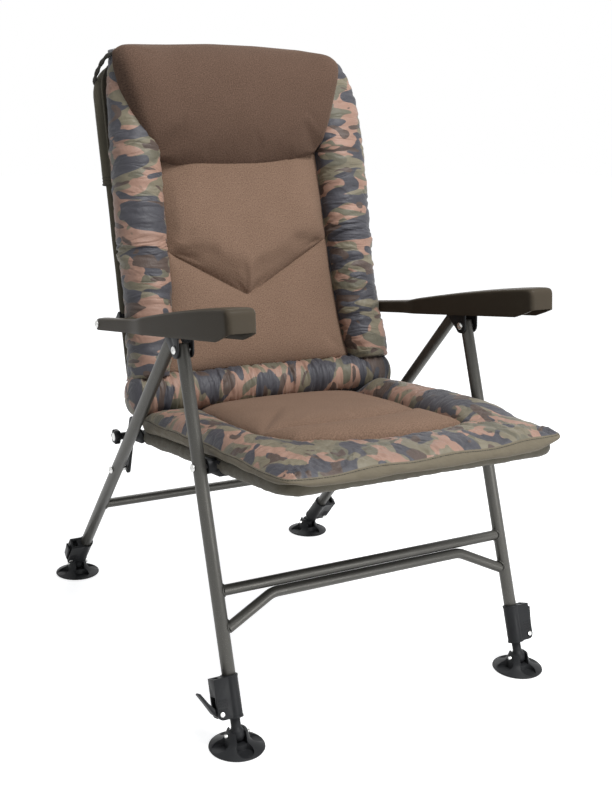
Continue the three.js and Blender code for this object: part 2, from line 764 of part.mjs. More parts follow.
place(seat, 'seat_frame', seatFrameGeometry(), paint);
place(seat, 'seat_sling', seatSlingGeometry(), oliveFabric);
place(seat, 'seat_cushion', seatCushionGeometry(), camouflage);
const legOuter = legPlane + legTubeRadius + gap;
for (const [side, sign] of sides) {
  place(seat, `seat_saddle_${side}`, saddleGeometry(sign), blackPlastic);
  place(seat, `hinge_plate_${side}`, hingePlateGeometry(sign), blackPlastic);
  const boltEnd = seatRail - frameTubeRadius - gap;
  place(seat, `seat_pivot_bolt_${side}`, boltGeometry(sign, boltEnd, legOuter, [
    [legOuter, legOuter + boltHeadHeight, boltHeadRadius],
  ]), steel);
}

// Back

const back = group(chair, 0, hinge.x, hinge.y, -radians(backLean));
const lugPoint = seenFrom(hinge, -radians(backLean), armEnd);

function backLoop(foot) {
  return bend([
    new THREE.Vector3(backRail, 0, foot), new THREE.Vector3(backRail, 0, backFrameTop),
    new THREE.Vector3(-backRail, 0, backFrameTop), new THREE.Vector3(-backRail, 0, foot),
  ], backCornerRadius);
}

function backFrameGeometry() {
  const loop = tubeAlong(backLoop(-backTubeFoot), frameTubeRadius);
  const tie = rodAlongX(frameTubeRadius, -backRail, backRail, 0, backTieHeight, tubeSides);
  const bore = tubeAlong(backLoop(-backTubeFoot - overrun), frameTubeRadius - tubeWall);
  const pins = rodAlongX(boltHole, -backRail - overrun, backRail + overrun, 0, 0);
  return cut(join(loop, tie), bore, pins);
}

function lugStub(sign, room) {
  const from = backRail + frameTubeRadius + gap - room;
  const to = backSleeveWidth + gap + room;
  return block(
    sign * from, sign * to, -frameTubeRadius + 2 - room, frameTubeRadius - 2 + room,
    lugPoint.y - 2 * boltHeadRadius - room, lugPoint.y + 2 * boltHeadRadius + room,
  );
}

function roundedPanel(half, foot, top, footRadius, topRadius) {
  const shape = new THREE.Shape();
  shape.moveTo(-half + footRadius, foot);
  shape.lineTo(half - footRadius, foot);
  shape.absarc(half - footRadius, foot + footRadius, footRadius, -Math.PI / 2, 0);
  shape.absarc(half - topRadius, top - topRadius, topRadius, 0, Math.PI / 2);
  shape.absarc(-half + topRadius, top - topRadius, topRadius, Math.PI / 2, Math.PI);
  shape.absarc(-half + footRadius, foot + footRadius, footRadius, Math.PI, 1.5 * Math.PI);
  return shape;
}

function backSlingGeometry() {
  const edge = backSleeveHalf / 2;
  const outline = roundedPanel(
    backSleeveWidth - edge, backSleeveFoot + edge, backSleeveTop - edge, edge, backCornerRadius,
  );
  const panel = new THREE.ExtrudeGeometry(outline, {
    depth: 2 * (backSleeveHalf - edge), curveSegments: 4,
    bevelSize: edge, bevelThickness: edge, bevelSegments: 1,
  });
  panel.rotateX(Math.PI / 2).translate(0, backSleeveHalf - edge, 0);
  const room = frameTubeRadius + gap;
  const passage = tubeAlong(backLoop(-backTubeFoot - overrun), room);
  return cut(panel, passage, ...sides.map(([, sign]) => lugStub(sign, gap)));
}

function armLugGeometry(sign) {
  const face = backSleeveWidth + gap;
  const outline = outlineRound([
    [lugPoint.x, lugPoint.y, 2 * boltRadius + tubeWall],
    [0, lugPoint.y - 2 * boltHeadRadius, boltHeadRadius / 2 + 2],
    [0, lugPoint.y + 2 * boltHeadRadius, boltHeadRadius / 2 + 2],
  ]);
  const plate = plateAcrossX(outline, sign * face, sign * (face + hingePlateThickness));
  const hole = rodAlongX(
    boltHole, sign * (face - overrun), sign * (face + overrun), lugPoint.x, lugPoint.y,
  );
  return cut(join(plate, lugStub(sign, 0)), hole);
}

function pillowHalfAt(z) {
  const share = THREE.MathUtils.clamp((z - pillowFoot) / (pillowTop - pillowFoot), 0, 1);
  return THREE.MathUtils.lerp(pillowFootHalf, pillowTopHalf, share);
}

const cushionFace = backSleeveHalf + gap;
const cushionFoot = lumbarFoot + 2 * lumbarRadius - lumbarNest;

function backCushionGeometry() {
  const rollShare = 0.655;
  const seamWidthShare = 0.06;
  const seamShare = 0.4;
  const total = backPanelThickness + backRollExtra;
  const middle = (u, v) => new THREE.Vector3(
    u * backHalfWidth,
    -cushionFace - backPanelThickness * seamShare,
    THREE.MathUtils.lerp(cushionFoot, backCushionTop, (v + 1) / 2),
  );
  const rise = (u, v) => {
    const z = middle(u, v).z;
    const x = Math.abs(u) * backHalfWidth;
    const edge = pillowHalfAt(z) + pillowMargin;
    const beside = smooth(edge, edge + pillowMargin, x);
    const under = smooth(pillowFoot - 2 * pillowMargin, pillowFoot - pillowMargin, z) * (1 - beside);
    const inside = smooth(rollShare + seamWidthShare, rollShare - seamWidthShare, Math.abs(u));
    const roll = backRollExtra * (1 - inside) * (1 - under);
    const chevron = THREE.MathUtils.lerp(-0.53, -0.2, Math.min(1, Math.abs(u) / rollShare));
    const chevronDip = valley(v - chevron, seamWidthShare) * inside;
    const sideDip = valley(Math.abs(u) - rollShare, seamWidthShare) * (1 - under);
    const puff = 5 * inside * smooth(chevron, chevron + 0.15, v) * (1 - under);
    const depth = backPanelThickness * (1 - seamShare) + roll + puff - 12 * Math.max(chevronDip, sideDip);
    return Math.min(depth, under > 0 ? backPanelThickness * (1 - seamShare) + 40 * (1 - under) : total)
      * fullness(u, v, 8);
  };
  const fall = (u, v) => -backPanelThickness * seamShare * Math.min(1, 1.3 * fullness(u, v, 9));
  return cushion(backColumns, backRows, middle, rise, fall, new THREE.Vector3(0, -1, 0));
}

function pillowGeometry() {
  const seamShare = 0.3;
  const rear = cushionFace + backPanelThickness + 3 * gap;
  const middle = (u, v) => {
    const z = THREE.MathUtils.lerp(pillowFoot, pillowTop, (v + 1) / 2);
    const sag = v < 0 ? -12 * v * (u * u) : 0;
    return new THREE.Vector3(u * pillowHalfAt(z), -rear - pillowThickness * seamShare, z + sag);
  };
  const rise = (u, v) => pillowThickness * (1 - seamShare) * fullness(u, v, 2.6);
  const fall = (u, v) => -pillowThickness * seamShare * Math.min(1, 1.3 * fullness(u, v, 6));
  return cushion(pillowColumns, pillowRows, middle, rise, fall, new THREE.Vector3(0, -1, 0));
}

function lumbarGeometry() {
  const profile = [];
  for (let i = 0; i <= lumbarRings; i += 1) {
    const share = spread(i / lumbarRings);
    const ruck = 1 - 0.035 * (i % 2);
    profile.push([lumbarRadius * ruck * (1 - Math.abs(share) ** 7) ** 0.5, share * lumbarHalfLength]);
  }
  const outline = profile.map(([r, h]) => new THREE.Vector2(Math.max(r, 0), h));
  const roll = new THREE.LatheGeometry(outline, lumbarSides);
  return roll.rotateZ(Math.PI / 2).translate(0, -cushionFace - lumbarRadius, lumbarFoot + lumbarRadius);
}

place(back, 'back_frame', backFrameGeometry(), paint);
place(back, 'back_sling', backSlingGeometry(), oliveFabric);
place(back, 'back_cushion', backCushionGeometry(), camouflage);
place(back, 'head_pillow', pillowGeometry(), brownFabric);
place(back, 'lumbar_roll', lumbarGeometry(), camouflage);
for (const [side, sign] of sides) place(back, `arm_lug_${side}`, armLugGeometry(sign), blackPlastic);

// Hinge knobs, and the lock bars that hook over their studs

const knobs = group(chair, 0, knobPoint.x, knobPoint.y);
const plateOuter = seatRail + frameTubeRadius + gap + hingePlateThickness;
const barInner = plateOuter + gap;
const barOuter = barInner + lockBarThickness;

function knobGeometry(sign) {
  const stemStart = barOuter + gap;
  const headStart = stemStart + knobStemLength;
  const headEnd = headStart + knobHeadThickness;
  const nutEnd = seatRail - frameTubeRadius - gap;
  const stud = boltGeometry(sign, nutEnd - hingePlateThickness, stemStart + knobStemLength / 2, [
    [nutEnd - hingePlateThickness, nutEnd, boltHeadRadius],
    [stemStart, headStart + gap, knobStemRadius],
  ]);
  const lobe = (2 * Math.PI) / knobLobes;
  const count = 5;
  const outline = Array.from({ length: knobLobes * count }, (_, i) => {
    const angle = (i / count) * lobe;
    const radius = knobHeadRadius * (0.9 + 0.1 * Math.cos(knobLobes * angle));
    return new THREE.Vector2(radius * Math.cos(angle), radius * Math.sin(angle));
  });
  const head = plateAcrossX(new THREE.Shape(outline), sign * headStart, sign * headEnd);
  return join(stud, head);
}

const studInLeg = seenFrom(rearBall, rearLegTilt, knobPoint);
const barBolt = new THREE.Vector2(0, studInLeg.y - lockBarBoltDrop);

function lockBarGeometry(sign) {
  const eye = 2 * boltRadius + 5;
  const outline = outlineRound([
    [barBolt.x, barBolt.y, legTubeRadius - 1], [studInLeg.x, studInLeg.y, eye],
  ], 14);
  const bar = plateAcrossX(outline, sign * barInner, sign * barOuter);
  const slotHalf = boltRadius + 1;
  const slotLean = radians(lockBarSlotLean);
  const down = new THREE.Vector2(-Math.sin(slotLean), -Math.cos(slotLean));
  const mouth = studInLeg.clone().addScaledVector(down, lockBarBoltDrop);
  const slot = outlineRound([
    [studInLeg.x, studInLeg.y, slotHalf], [mouth.x, mouth.y, slotHalf],
  ]);
  const slotPlate = plateAcrossX(slot, sign * (barInner - overrun), sign * (barOuter + overrun));
  const across = [sign * (barInner - overrun), sign * (barOuter + overrun)];
  const hole = rodAlongX(boltHole, ...across, barBolt.x, barBolt.y);
  return cut(bar, slotPlate, hole);
}

for (const [side, sign] of sides) {
  place(knobs, `hinge_knob_${side}`, knobGeometry(sign), blackPlastic);
  place(rearLegs, `lock_bar_${side}`, lockBarGeometry(sign), blackPlastic);
  const boltFrame = group(rearLegs, 0, barBolt.x, barBolt.y);
  place(boltFrame, `lock_bar_bolt_${side}`, boltGeometry(sign, barInner + gap, legOuter + gap, [
    [barOuter + gap, legPlane - legTubeRadius - gap, boltHeadRadius],
    [legOuter, legOuter + boltHeadHeight, boltHeadRadius],
  ]), steel);
}

// Arms

const armTilt = -radians(armSlope);
const arms = group(chair, 0, armEnd.x, armEnd.y, armTilt);
const armPivotIn = seenFrom(armEnd, armTilt, armPivot);
const rearPivotIn = seenFrom(armEnd, armTilt, rearPivot);
const bodyShares = [[0.42, 0.24], [0.53, 0.44], [0.66, 0.65], [0.8, 0.85], [0.9, 0.96], [0.94, 1]];

// The side view of an arm, drawn back to front along its underside, moved in by inset.
function armSide(inset) {
  const shape = new THREE.Shape();
  const radius = armTipRadius - inset;
  const underside = inset > 0 ? -armTipRadius - overrun : -armTipRadius;
  shape.moveTo(0, underside);
  if (inset > 0) shape.lineTo(radius, underside);
  else shape.absarc(0, 0, radius, -Math.PI / 2, 0);
  shape.absarc(0, 0, radius, 0, Math.PI / 2);
  shape.lineTo(-armKink, armKinkRise - inset);
  for (const [along, rise] of bodyShares) {
    const z = THREE.MathUtils.lerp(armKinkRise, armNoseRise, rise) - inset;
    shape.lineTo(-armLength * along, z);
  }
  const nose = armLength - inset;
  shape.lineTo(-nose * 0.965, armNoseRise * 0.86 - inset);
  shape.lineTo(-nose * 0.99, armNoseRise * 0.5 - inset / 2);
  if (inset > 0) {
    shape.lineTo(-nose, underside);
  } else {
    shape.lineTo(-nose, 0);
    shape.lineTo(-armLength + 5.5 * armTipRadius, -armTipRadius);
  }
  return shape;
}

// The plan of an arm: full width in front, drawn in over the thin rear end.
function armPlan(inset, sign) {
  const inner = armPlane - armHalfWidth + inset;
  const outer = armPlane + armHalfWidth - inset;
  const rear = armTipRadius + (inset > 0 ? overrun : 0) + overrun;
  const taperEnd = armKink * 0.8;
  const taperStart = armKink * 1.25;
  const outline = [
    [inner + armInnerStep, rear], [inner + armInnerStep, -taperEnd], [inner, -taperStart],
    [inner, -armLength - overrun], [outer, -armLength - overrun], [outer, -taperStart],
    [outer - armOuterStep, -taperEnd], [outer - armOuterStep, rear],
  ];
  const shape = new THREE.Shape(outline.map(([x, y]) => new THREE.Vector2(sign * x, y)));
  const height = armNoseRise + 4 * overrun;
  const plan = new THREE.ExtrudeGeometry(shape, { depth: height, bevelEnabled: false });
  return plan.translate(0, 0, -height / 2);
}

function armGeometry(sign) {
  const reach = armPlane + armHalfWidth + overrun;
  const shell = overlapOf(plateAcrossX(armSide(0), 0, sign * reach, 5), armPlan(0, sign));
  const hollow = overlapOf(plateAcrossX(armSide(armWall), 0, sign * reach, 5), armPlan(armWall, sign));
  const bolt = rodAlongX(boltHole, 0, sign * reach, 0, 0);
  return cut(shell, hollow, bolt);
}

const bracketFront = armPivotIn.x - bracketLobeRadius - bracketWall;
const bracketRear = rearPivotIn.x + bracketLobeRadius + 2 * bracketWall;

function roofAt(y) {
  const shares = [[armKink / armLength, 0], ...bodyShares];
  for (let i = 1; i < shares.length; i += 1) {
    const [from, low] = shares[i - 1];
    const [to, high] = shares[i];
    const share = (-y / armLength - from) / (to - from);
    if (share <= 1) {
      const rise = THREE.MathUtils.lerp(low, high, share);
      return THREE.MathUtils.lerp(armKinkRise, armNoseRise, rise) - armWall - gap;
    }
  }
  return armNoseRise - armWall - gap;
}

function bracketGeometry(sign) {
  const inner = legPlane - legTubeRadius - gap - gap;
  const outer = legPlane + legTubeRadius + gap + gap;
  const side = (drop, low) => {
    const shape = new THREE.Shape();
    shape.moveTo(bracketRear + drop, roofAt(bracketRear) - drop);
    const breaks = bodyShares.map(([along]) => -armLength * along);
    for (const y of breaks.filter((at) => at < bracketRear && at > bracketFront)) {
      shape.lineTo(y, roofAt(y) - drop);
    }
    shape.lineTo(bracketFront - drop, roofAt(bracketFront) - drop);
    if (low) {
      shape.lineTo(bracketFront - drop, armPivotIn.y - 3 * overrun);
      shape.lineTo(bracketRear + drop, armPivotIn.y - 3 * overrun);
    } else {
      shape.lineTo(armPivotIn.x - bracketLobeRadius, armPivotIn.y);
      shape.absarc(armPivotIn.x, armPivotIn.y, bracketLobeRadius, Math.PI, 1.85 * Math.PI);
      shape.lineTo(bracketRear, -armTipRadius);
    }
    return shape;
  };
  const body = plateAcrossX(side(0, false), sign * (inner - bracketWall), sign * (outer + bracketWall), 7);
  const room = plateAcrossX(side(bracketWall, true), sign * inner, sign * outer, 7);
  const reach = [sign * (inner - overrun), sign * (outer + overrun)];
  const holes = [armPivotIn, rearPivotIn].map((at) => rodAlongX(boltHole, ...reach, at.x, at.y));
  return cut(body, room, ...holes);
}

const bracketInner = legPlane - legTubeRadius - 2 * gap - bracketWall;
const bracketOuter = legPlane + legTubeRadius + 2 * gap + bracketWall;
for (const [side, sign] of sides) {
  place(arms, `arm_${side}`, armGeometry(sign), armPlastic);
  place(arms, `arm_bracket_${side}`, bracketGeometry(sign), blackPlastic);
  const heads = [
    [bracketInner - gap - boltHeadHeight, bracketInner - gap, boltHeadRadius],
    [bracketOuter + gap, bracketOuter + gap + boltHeadHeight, boltHeadRadius],
  ];
  const ends = [bracketInner - gap - boltHeadHeight, bracketOuter + gap + boltHeadHeight];
  for (const [name, at] of [['front', armPivotIn], ['rear', rearPivotIn]]) {
    const boltFrame = group(arms, 0, at.x, at.y);
    place(boltFrame, `arm_${name}_bolt_${side}`, boltGeometry(sign, ...ends, heads), steel);
  }
  const armFace = armPlane + armHalfWidth - armOuterStep;
  const armInside = armPlane - armHalfWidth + armInnerStep;
  const lugFace = backSleeveWidth + gap + hingePlateThickness;
  place(arms, `arm_end_bolt_${side}`, boltGeometry(sign, backSleeveWidth + 2 * gap, armFace + gap, [
    [lugFace + gap, armInside - gap, 2 * boltRadius],
    [armFace + gap, armFace + gap + boltHeadHeight, boltHeadRadius],
  ]), steel);
}

export default chair;
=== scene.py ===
# %% [markdown]
# A folding fishing chair: steel tube, moulded arms, four telescopic legs with mud feet, and
# cushions in brown fleece and camouflage cloth. The hard parts come from a CAD model that is
# loaded first and never moved. Everything below dresses that model: smooth tubes where the model
# has plain ones, rounded edges on the mouldings, and sewn cushions where it has simple solids.
# The scene is in metres, with X to the sitter's left, Y to the back and Z up. Pieces are written
# in the millimetres of their own tilted frames, and mm turns those into metres.

# %% Load the model and bake its parts into world space
import bpy, bmesh, math
from contextlib import contextmanager
import numpy as np
from mathutils import Matrix, Vector, noise as mathutils_noise
from mathutils.bvhtree import BVHTree


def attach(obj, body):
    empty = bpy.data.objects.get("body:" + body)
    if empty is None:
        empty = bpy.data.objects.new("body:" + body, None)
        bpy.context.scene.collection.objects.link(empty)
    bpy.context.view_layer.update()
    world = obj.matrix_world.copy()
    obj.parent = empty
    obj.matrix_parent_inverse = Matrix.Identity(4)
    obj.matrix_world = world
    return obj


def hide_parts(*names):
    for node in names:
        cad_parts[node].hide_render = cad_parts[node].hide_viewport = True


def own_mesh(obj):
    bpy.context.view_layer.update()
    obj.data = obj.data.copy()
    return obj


mm = 0.001
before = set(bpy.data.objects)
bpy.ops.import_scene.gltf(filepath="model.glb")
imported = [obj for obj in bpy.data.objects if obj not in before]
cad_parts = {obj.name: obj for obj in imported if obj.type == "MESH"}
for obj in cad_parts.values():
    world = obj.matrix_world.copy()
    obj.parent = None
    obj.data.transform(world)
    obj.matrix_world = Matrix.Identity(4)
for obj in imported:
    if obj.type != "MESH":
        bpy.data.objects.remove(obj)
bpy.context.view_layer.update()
collection = bpy.context.scene.collection

# %% [markdown]
# The photograph was taken from the sitter's right, a little above the seat, with a normal lens.
# The camera is placed from its direction, its distance and a small roll. A camera looks along
# its own -Z, so its matrix has the right, up and backward directions as columns.

# %% Camera
azimuth, elevation, roll = math.radians(-30.37), math.radians(14.45), math.radians(1.67)
backward = Vector((math.sin(azimuth) * math.cos(elevation),
                   -math.cos(azimuth) * math.cos(elevation), math.sin(elevation)))
level = (-backward).cross(Vector((0, 0, 1))).normalized()
upright = level.cross(-backward)
right = level * math.cos(roll) + upright * math.sin(roll)
up = upright * math.cos(roll) - level * math.sin(roll)
camera_data = bpy.data.cameras.new("camera")
camera_data.lens, camera_data.sensor_width, camera_data.sensor_fit = 50.02, 36, "AUTO"
camera = bpy.data.objects.new("camera", camera_data)
camera.matrix_world = Matrix.Translation((-0.9919, -1.7492, 0.9672)) @ Matrix(
    [[a, b, c] for a, b, c in zip(right, up, backward)]).to_4x4()
collection.objects.link(camera)
bpy.context.scene.camera = camera
print("camera at", [round(v, 3) for v in camera.matrix_world.translation])

# %% [markdown]
# Product pictures are lit by large soft boxes, so that tubes carry long highlights and cloth
# shows its folds. The key lamp hangs high over the chair's right front in the picture, a weak one
# stands low in front and one behind. The sky's own light comes mostly from the right and above,
# which leaves the left of each tube and roll in shade. The camera, and what shines, sees the floor
# and the sky as a white page instead, and the floor keeps the chair's faint shadow.

# %% Lamps
def soft_box(name, place, size, watts, target=(0, 0, 0.55)):
    data = bpy.data.lights.new(name, "AREA")
    data.shape, data.size, data.energy = "SQUARE", size, watts
    lamp = bpy.data.objects.new(name, data)
    aim = (Vector(place) - Vector(target)).normalized().to_track_quat("Z", "Y")
    lamp.matrix_world = Matrix.Translation(place) @ aim.to_matrix().to_4x4()
    collection.objects.link(lamp)


soft_box("key_box", (0.55, -1.55, 3.35), 1.1, 98)
soft_box("front_box", (0.95, -2.85, 0.6), 0.9, 24)
soft_box("rear_box", (0.9, 2.2, 2.0), 1.4, 20)


# %% Node helper
def feed(tree, socket, value):
    """Links a node's output to the socket, or sets the value there."""
    if isinstance(value, bpy.types.NodeSocket):
        tree.links.new(value, socket)
    else:
        socket.default_value = value


def node_adder(tree, clear=False):
    """A function that adds a node with its settings and inputs and gives back the node."""
    if clear:
        tree.nodes.clear()

    def add(kind, inputs=None, **settings):
        node = tree.nodes.new(kind)
        for key, value in settings.items():
            setattr(node, key, value)
        for key, value in (inputs or {}).items():
            feed(tree, node.inputs[key], value)
        return node
    return add


# %% White page: the sky and the floor
def page_rays(add):
    """One for rays from the camera, and for reflections and refractions of them."""
    path = add("ShaderNodeLightPath")
    share = path.outputs["Is Camera Ray"]
    for kind in ("Is Glossy Ray", "Is Transmission Ray"):
        share = add("ShaderNodeMath", {0: share, 1: path.outputs[kind]},
                    operation="MAXIMUM").outputs[0]
    return share


sky_dim, sky_bright = 0.10, 0.66
bright_side = Vector((0.62, -0.55, 0.56)).normalized()
world = bpy.data.worlds.new("studio")
bpy.context.scene.world = world
world.use_nodes = True
add = node_adder(world.node_tree, clear=True)
towards = add("ShaderNodeVectorMath", {0: add("ShaderNodeTexCoord").outputs["Generated"],
                                       1: bright_side}, operation="DOT_PRODUCT")
level = add("ShaderNodeMapRange", {"Value": towards.outputs["Value"], "From Min": -0.75,
                                   "From Max": 0.9, "To Min": sky_dim, "To Max": sky_bright})
sky = add("ShaderNodeBackground", {"Color": (0.93, 0.96, 1, 1), "Strength": level.outputs[0]})
page = add("ShaderNodeBackground", {"Color": (1, 1, 1, 1), "Strength": 1})
seen = add("ShaderNodeMixShader", {0: page_rays(add), 1: sky.outputs[0], 2: page.outputs[0]})
add("ShaderNodeOutputWorld", {0: seen.outputs[0]})

reach, below_soles = 14, 0.0005
floor_mesh = bpy.data.meshes.new("floor")
floor_mesh.from_pydata([(-reach, -reach, 0), (reach, -reach, 0), (reach, reach, 0),
                        (-reach, reach, 0)], [], [(0, 1, 2, 3)])
floor = bpy.data.objects.new("floor", floor_mesh)
floor.location.z = -below_soles
collection.objects.link(floor)
paper = bpy.data.materials.new("paper")
paper.use_nodes = True
add = node_adder(paper.node_tree, clear=True)
matte = add("ShaderNodeBsdfDiffuse", {"Color": (0.6, 0.6, 0.6, 1)})
glow = add("ShaderNodeEmission", {"Strength": 0.76})
white = add("ShaderNodeAddShader", {0: matte.outputs[0], 1: glow.outputs[0]})
seen = add("ShaderNodeMixShader", {0: page_rays(add), 1: matte.outputs[0], 2: white.outputs[0]})
add("ShaderNodeOutputMaterial", {0: seen.outputs[0]})
floor_mesh.materials.append(paper)
bpy.context.scene.view_settings.view_transform = "Standard"
print("page is white to the camera, sky light from", sky_dim, "to", sky_bright)

# %% [markdown]
# Finishes. A material is built from a few nodes each time: noise, colour ramps, mixes and bumps.
# One class holds the material while it is made, and each of its methods adds a node and gives
# back its output. Bumps are chained, the coarse one first.

# %% Material helper
def grey(value):
    return (value, value, value)


class Finish:
    def __init__(self, name):
        self.material = bpy.data.materials.new(name)
        self.material.use_nodes = True
        self.tree = self.material.node_tree
        self.shader = self.tree.nodes["Principled BSDF"]
        self.add = node_adder(self.tree)
        self.normal = None

    def set(self, inputs):
        for key, value in inputs.items():
            feed(self.tree, self.shader.inputs[key], value)

    def noise(self, place, scale, detail=2.0, rough=0.5, distortion=0.0):
        return self.add("ShaderNodeTexNoise", {
            "Vector": place, "Scale": scale, "Detail": detail, "Roughness": rough,
            "Distortion": distortion}).outputs["Fac"]

    def ramp(self, value, *stops, interpolation="LINEAR"):
        """Stops are (place, grey level)."""
        node = self.add("ShaderNodeValToRGB", {0: value})
        node.color_ramp.interpolation = interpolation
        for element, (place, level) in zip(node.color_ramp.elements, stops):
            element.position, element.color = place, (*grey(level), 1)
        return node.outputs[0]

    def mix(self, share, below, above, blend="MIX"):
        node = self.add("ShaderNodeMix", data_type="RGBA", blend_type=blend)
        for key, value in ((0, share), (6, below), (7, above)):
            feed(self.tree, node.inputs[key], (*value, 1) if isinstance(value, tuple) else value)
        return node.outputs[2]

    def bump(self, height, distance, strength):
        inputs = {"Strength": strength, "Distance": distance, "Height": height}
        if self.normal:
            inputs["Normal"] = self.normal
        self.normal = self.add("ShaderNodeBump", inputs).outputs[0]
        self.set({"Normal": self.normal})

    def object_place(self):
        return self.add("ShaderNodeTexCoord").outputs["Object"]

    def cut_place(self, across=1.0, along=1.0, shift=0.0):
        source = self.add("ShaderNodeUVMap", uv_map="cut").outputs[0]
        return self.add("ShaderNodeMapping", {
            "Vector": source, "Scale": (across, along, 1),
            "Location": (shift, shift * 0.7, shift * 1.3)}).outputs[0]

    def weave(self, place, threads):
        waves = [self.add("ShaderNodeTexWave", {"Scale": threads, "Distortion": 0.6,
                                                "Vector": place},
                          bands_direction=direction).outputs["Fac"] for direction in "XY"]
        return self.add("ShaderNodeMath", dict(enumerate(waves)), operation="MULTIPLY").outputs[0]


# %% [markdown]
# Hard finishes. The tubes are sprayed with a satin olive-grey metallic paint of fine flake. The
# mouldings have a fine grain and wear a little unevenly, and bolts and pins are zinc-plated.

# %% Tube paint
paint = Finish("tube_paint")
place = paint.object_place()
flake, cloud = paint.noise(place, 900, 1), paint.noise(place, 9, 3)
tone = paint.mix(cloud, (0.068, 0.0655, 0.058), (0.088, 0.085, 0.076))
tone = paint.mix(paint.ramp(flake, (0.62, 0), (0.74, 0.5)), tone, (0.20, 0.195, 0.18))
paint.set({"Base Color": tone, "Metallic": 0.5,
           "Roughness": paint.ramp(cloud, (0.3, 0.36), (0.7, 0.46))})
paint.bump(flake, 0.00004, 0.4)
tube_paint = paint.material


# %% Black nylon for collars, feet and knobs, olive-brown arms, zinc-plated bolts
def hard_finish(name, wear, colours, rough, settings, grain=None):
    """wear and grain are a noise's scale, detail and roughness; grain adds distance, strength."""
    made = Finish(name)
    place = made.object_place()
    patches = made.noise(place, *wear)
    made.set({"Base Color": made.mix(patches, *colours), **settings,
              "Roughness": made.ramp(patches, (0.3, rough[0]), (0.7, rough[1]))})
    if grain:
        made.bump(made.noise(place, *grain[:3]), *grain[3:])
    return made.material


black_nylon = hard_finish(
    "black_nylon", (34, 4), ((0.010, 0.0104, 0.0115), (0.020, 0.0208, 0.0222)), (0.38, 0.55),
    {"Specular IOR Level": 0.18}, (650, 2, 0.5, 0.00012, 0.5))
arm_moulding = hard_finish(
    "arm_moulding", (14, 3), ((0.056, 0.046, 0.034), (0.070, 0.058, 0.043)), (0.30, 0.38),
    {"IOR": 1.1}, (480, 3, 0.6, 0.00015, 0.6))
zinc = hard_finish(
    "zinc_steel", (160, 4), ((0.56, 0.56, 0.55), (0.74, 0.74, 0.72)), (0.24, 0.36),
    {"Metallic": 1.0})

# %% [markdown]
# Cloth. Every cushion carries a UV map called "cut", which holds the flat cut of its cloth in
# metres. Weave and print read that map, so they follow the cloth through every fold, which
# object coordinates would not. The weave is two crossed waves under a millimetre apart.

# %% Brown fleece, for the panels and the pillow
def fleece(name, dark, light):
    made = Finish(name)
    place = made.cut_place()
    pile, nap = made.noise(place, 420, 4, 0.7), made.noise(place, 16, 3, 0.6)
    speck = made.ramp(pile, (0.35, 0.58), (0.65, 1.25))
    made.set({"Base Color": made.mix(1.0, made.mix(nap, dark, light), speck, "MULTIPLY"),
              "Roughness": 0.95, "Specular IOR Level": 0.15, "Sheen Weight": 0.12,
              "Sheen Roughness": 0.5, "Sheen Tint": (0.75, 0.58, 0.45, 1)})
    made.bump(nap, 0.002, 0.25)
    made.bump(pile, 0.0007, 0.7)
    return made.material


panel_fleece = fleece("panel_fleece", (0.178, 0.112, 0.077), (0.214, 0.137, 0.096))
pillow_fleece = fleece("pillow_fleece", (0.098, 0.059, 0.041), (0.119, 0.073, 0.052))

# %% [markdown]
# The rolls are printed with the common woodland camouflage: tan ground, two greens over it, then
# charcoal and thin dark brown blobs. Each colour is a warped noise cut off hard at one level, laid
# over the one before. Blobs are about twice as wide as they are high.

# %% Camouflage cloth
camouflage_ground = (0.300, 0.178, 0.130)
camouflage_layers = [  # colour, scale, level of the cut, shift
    ((0.165, 0.143, 0.096), 13, 0.50, 0.0), ((0.112, 0.102, 0.070), 15, 0.60, 3.1),
    ((0.044, 0.043, 0.052), 13, 0.53, 7.7), ((0.070, 0.046, 0.036), 16, 0.62, 12.4)]


def creases(made, place):
    """Height with sharp valleys wherever a smooth noise passes its middle value."""
    offset = made.add("ShaderNodeMath", {0: made.noise(place, 17, 2.0, 0.5, 0.6), 1: 0.5},
                      operation="SUBTRACT")
    fold = made.add("ShaderNodeMath", {0: offset.outputs[0]}, operation="ABSOLUTE")
    return made.ramp(fold.outputs[0], (0.0, 0.0), (0.09, 1.0), interpolation="EASE")


def camouflage(name, across, along):
    made = Finish(name)
    tone = camouflage_ground
    for colour, scale, level, shift in camouflage_layers:
        field = made.noise(made.cut_place(across, along, shift), scale, 1.0, 0.35, 0.7)
        tone = made.mix(made.ramp(field, (level, 0), (level + 0.010, 1)), tone, colour)
    place = made.cut_place()
    fade = made.ramp(made.noise(place, 12, 4), (0.3, 0.84), (0.7, 1.1))
    made.set({"Base Color": made.mix(1.0, tone, fade, "MULTIPLY"), "Roughness": 0.52,
              "Specular IOR Level": 0.42, "Sheen Weight": 0.08})
    made.bump(made.noise(place, 55, 4, 0.6, 0.5), 0.0028, 0.5)
    made.bump(creases(made, made.cut_place(across * 0.7, along, 4.4)), 0.0045, 0.3)
    made.bump(made.weave(place, 190), 0.0003, 0.45)
    return made.material


roll_camouflage = camouflage("roll_camouflage", 0.95, 2.1)
seat_camouflage = camouflage("seat_camouflage", 1.75, 1.2)


# %% Olive nylon, for the sleeves and the boxing
def nylon(name, dark, light):
    made = Finish(name)
    place = made.cut_place()
    threads = made.weave(place, 170)
    tone = made.mix(made.noise(place, 18, 4), dark, light)
    tone = made.mix(1.0, tone, made.ramp(threads, (0.0, 0.82), (1.0, 1.12)), "MULTIPLY")
    made.set({"Base Color": tone, "Roughness": 0.72, "Sheen Weight": 0.12})
    made.bump(made.noise(place, 42, 4, 0.6, 0.4), 0.003, 0.45)
    made.bump(threads, 0.0005, 0.6)
    return made.material


olive_nylon = nylon("olive_nylon", (0.066, 0.056, 0.034), (0.088, 0.076, 0.048))
boxing_nylon = nylon("boxing_nylon", (0.128, 0.105, 0.066), (0.160, 0.133, 0.086))

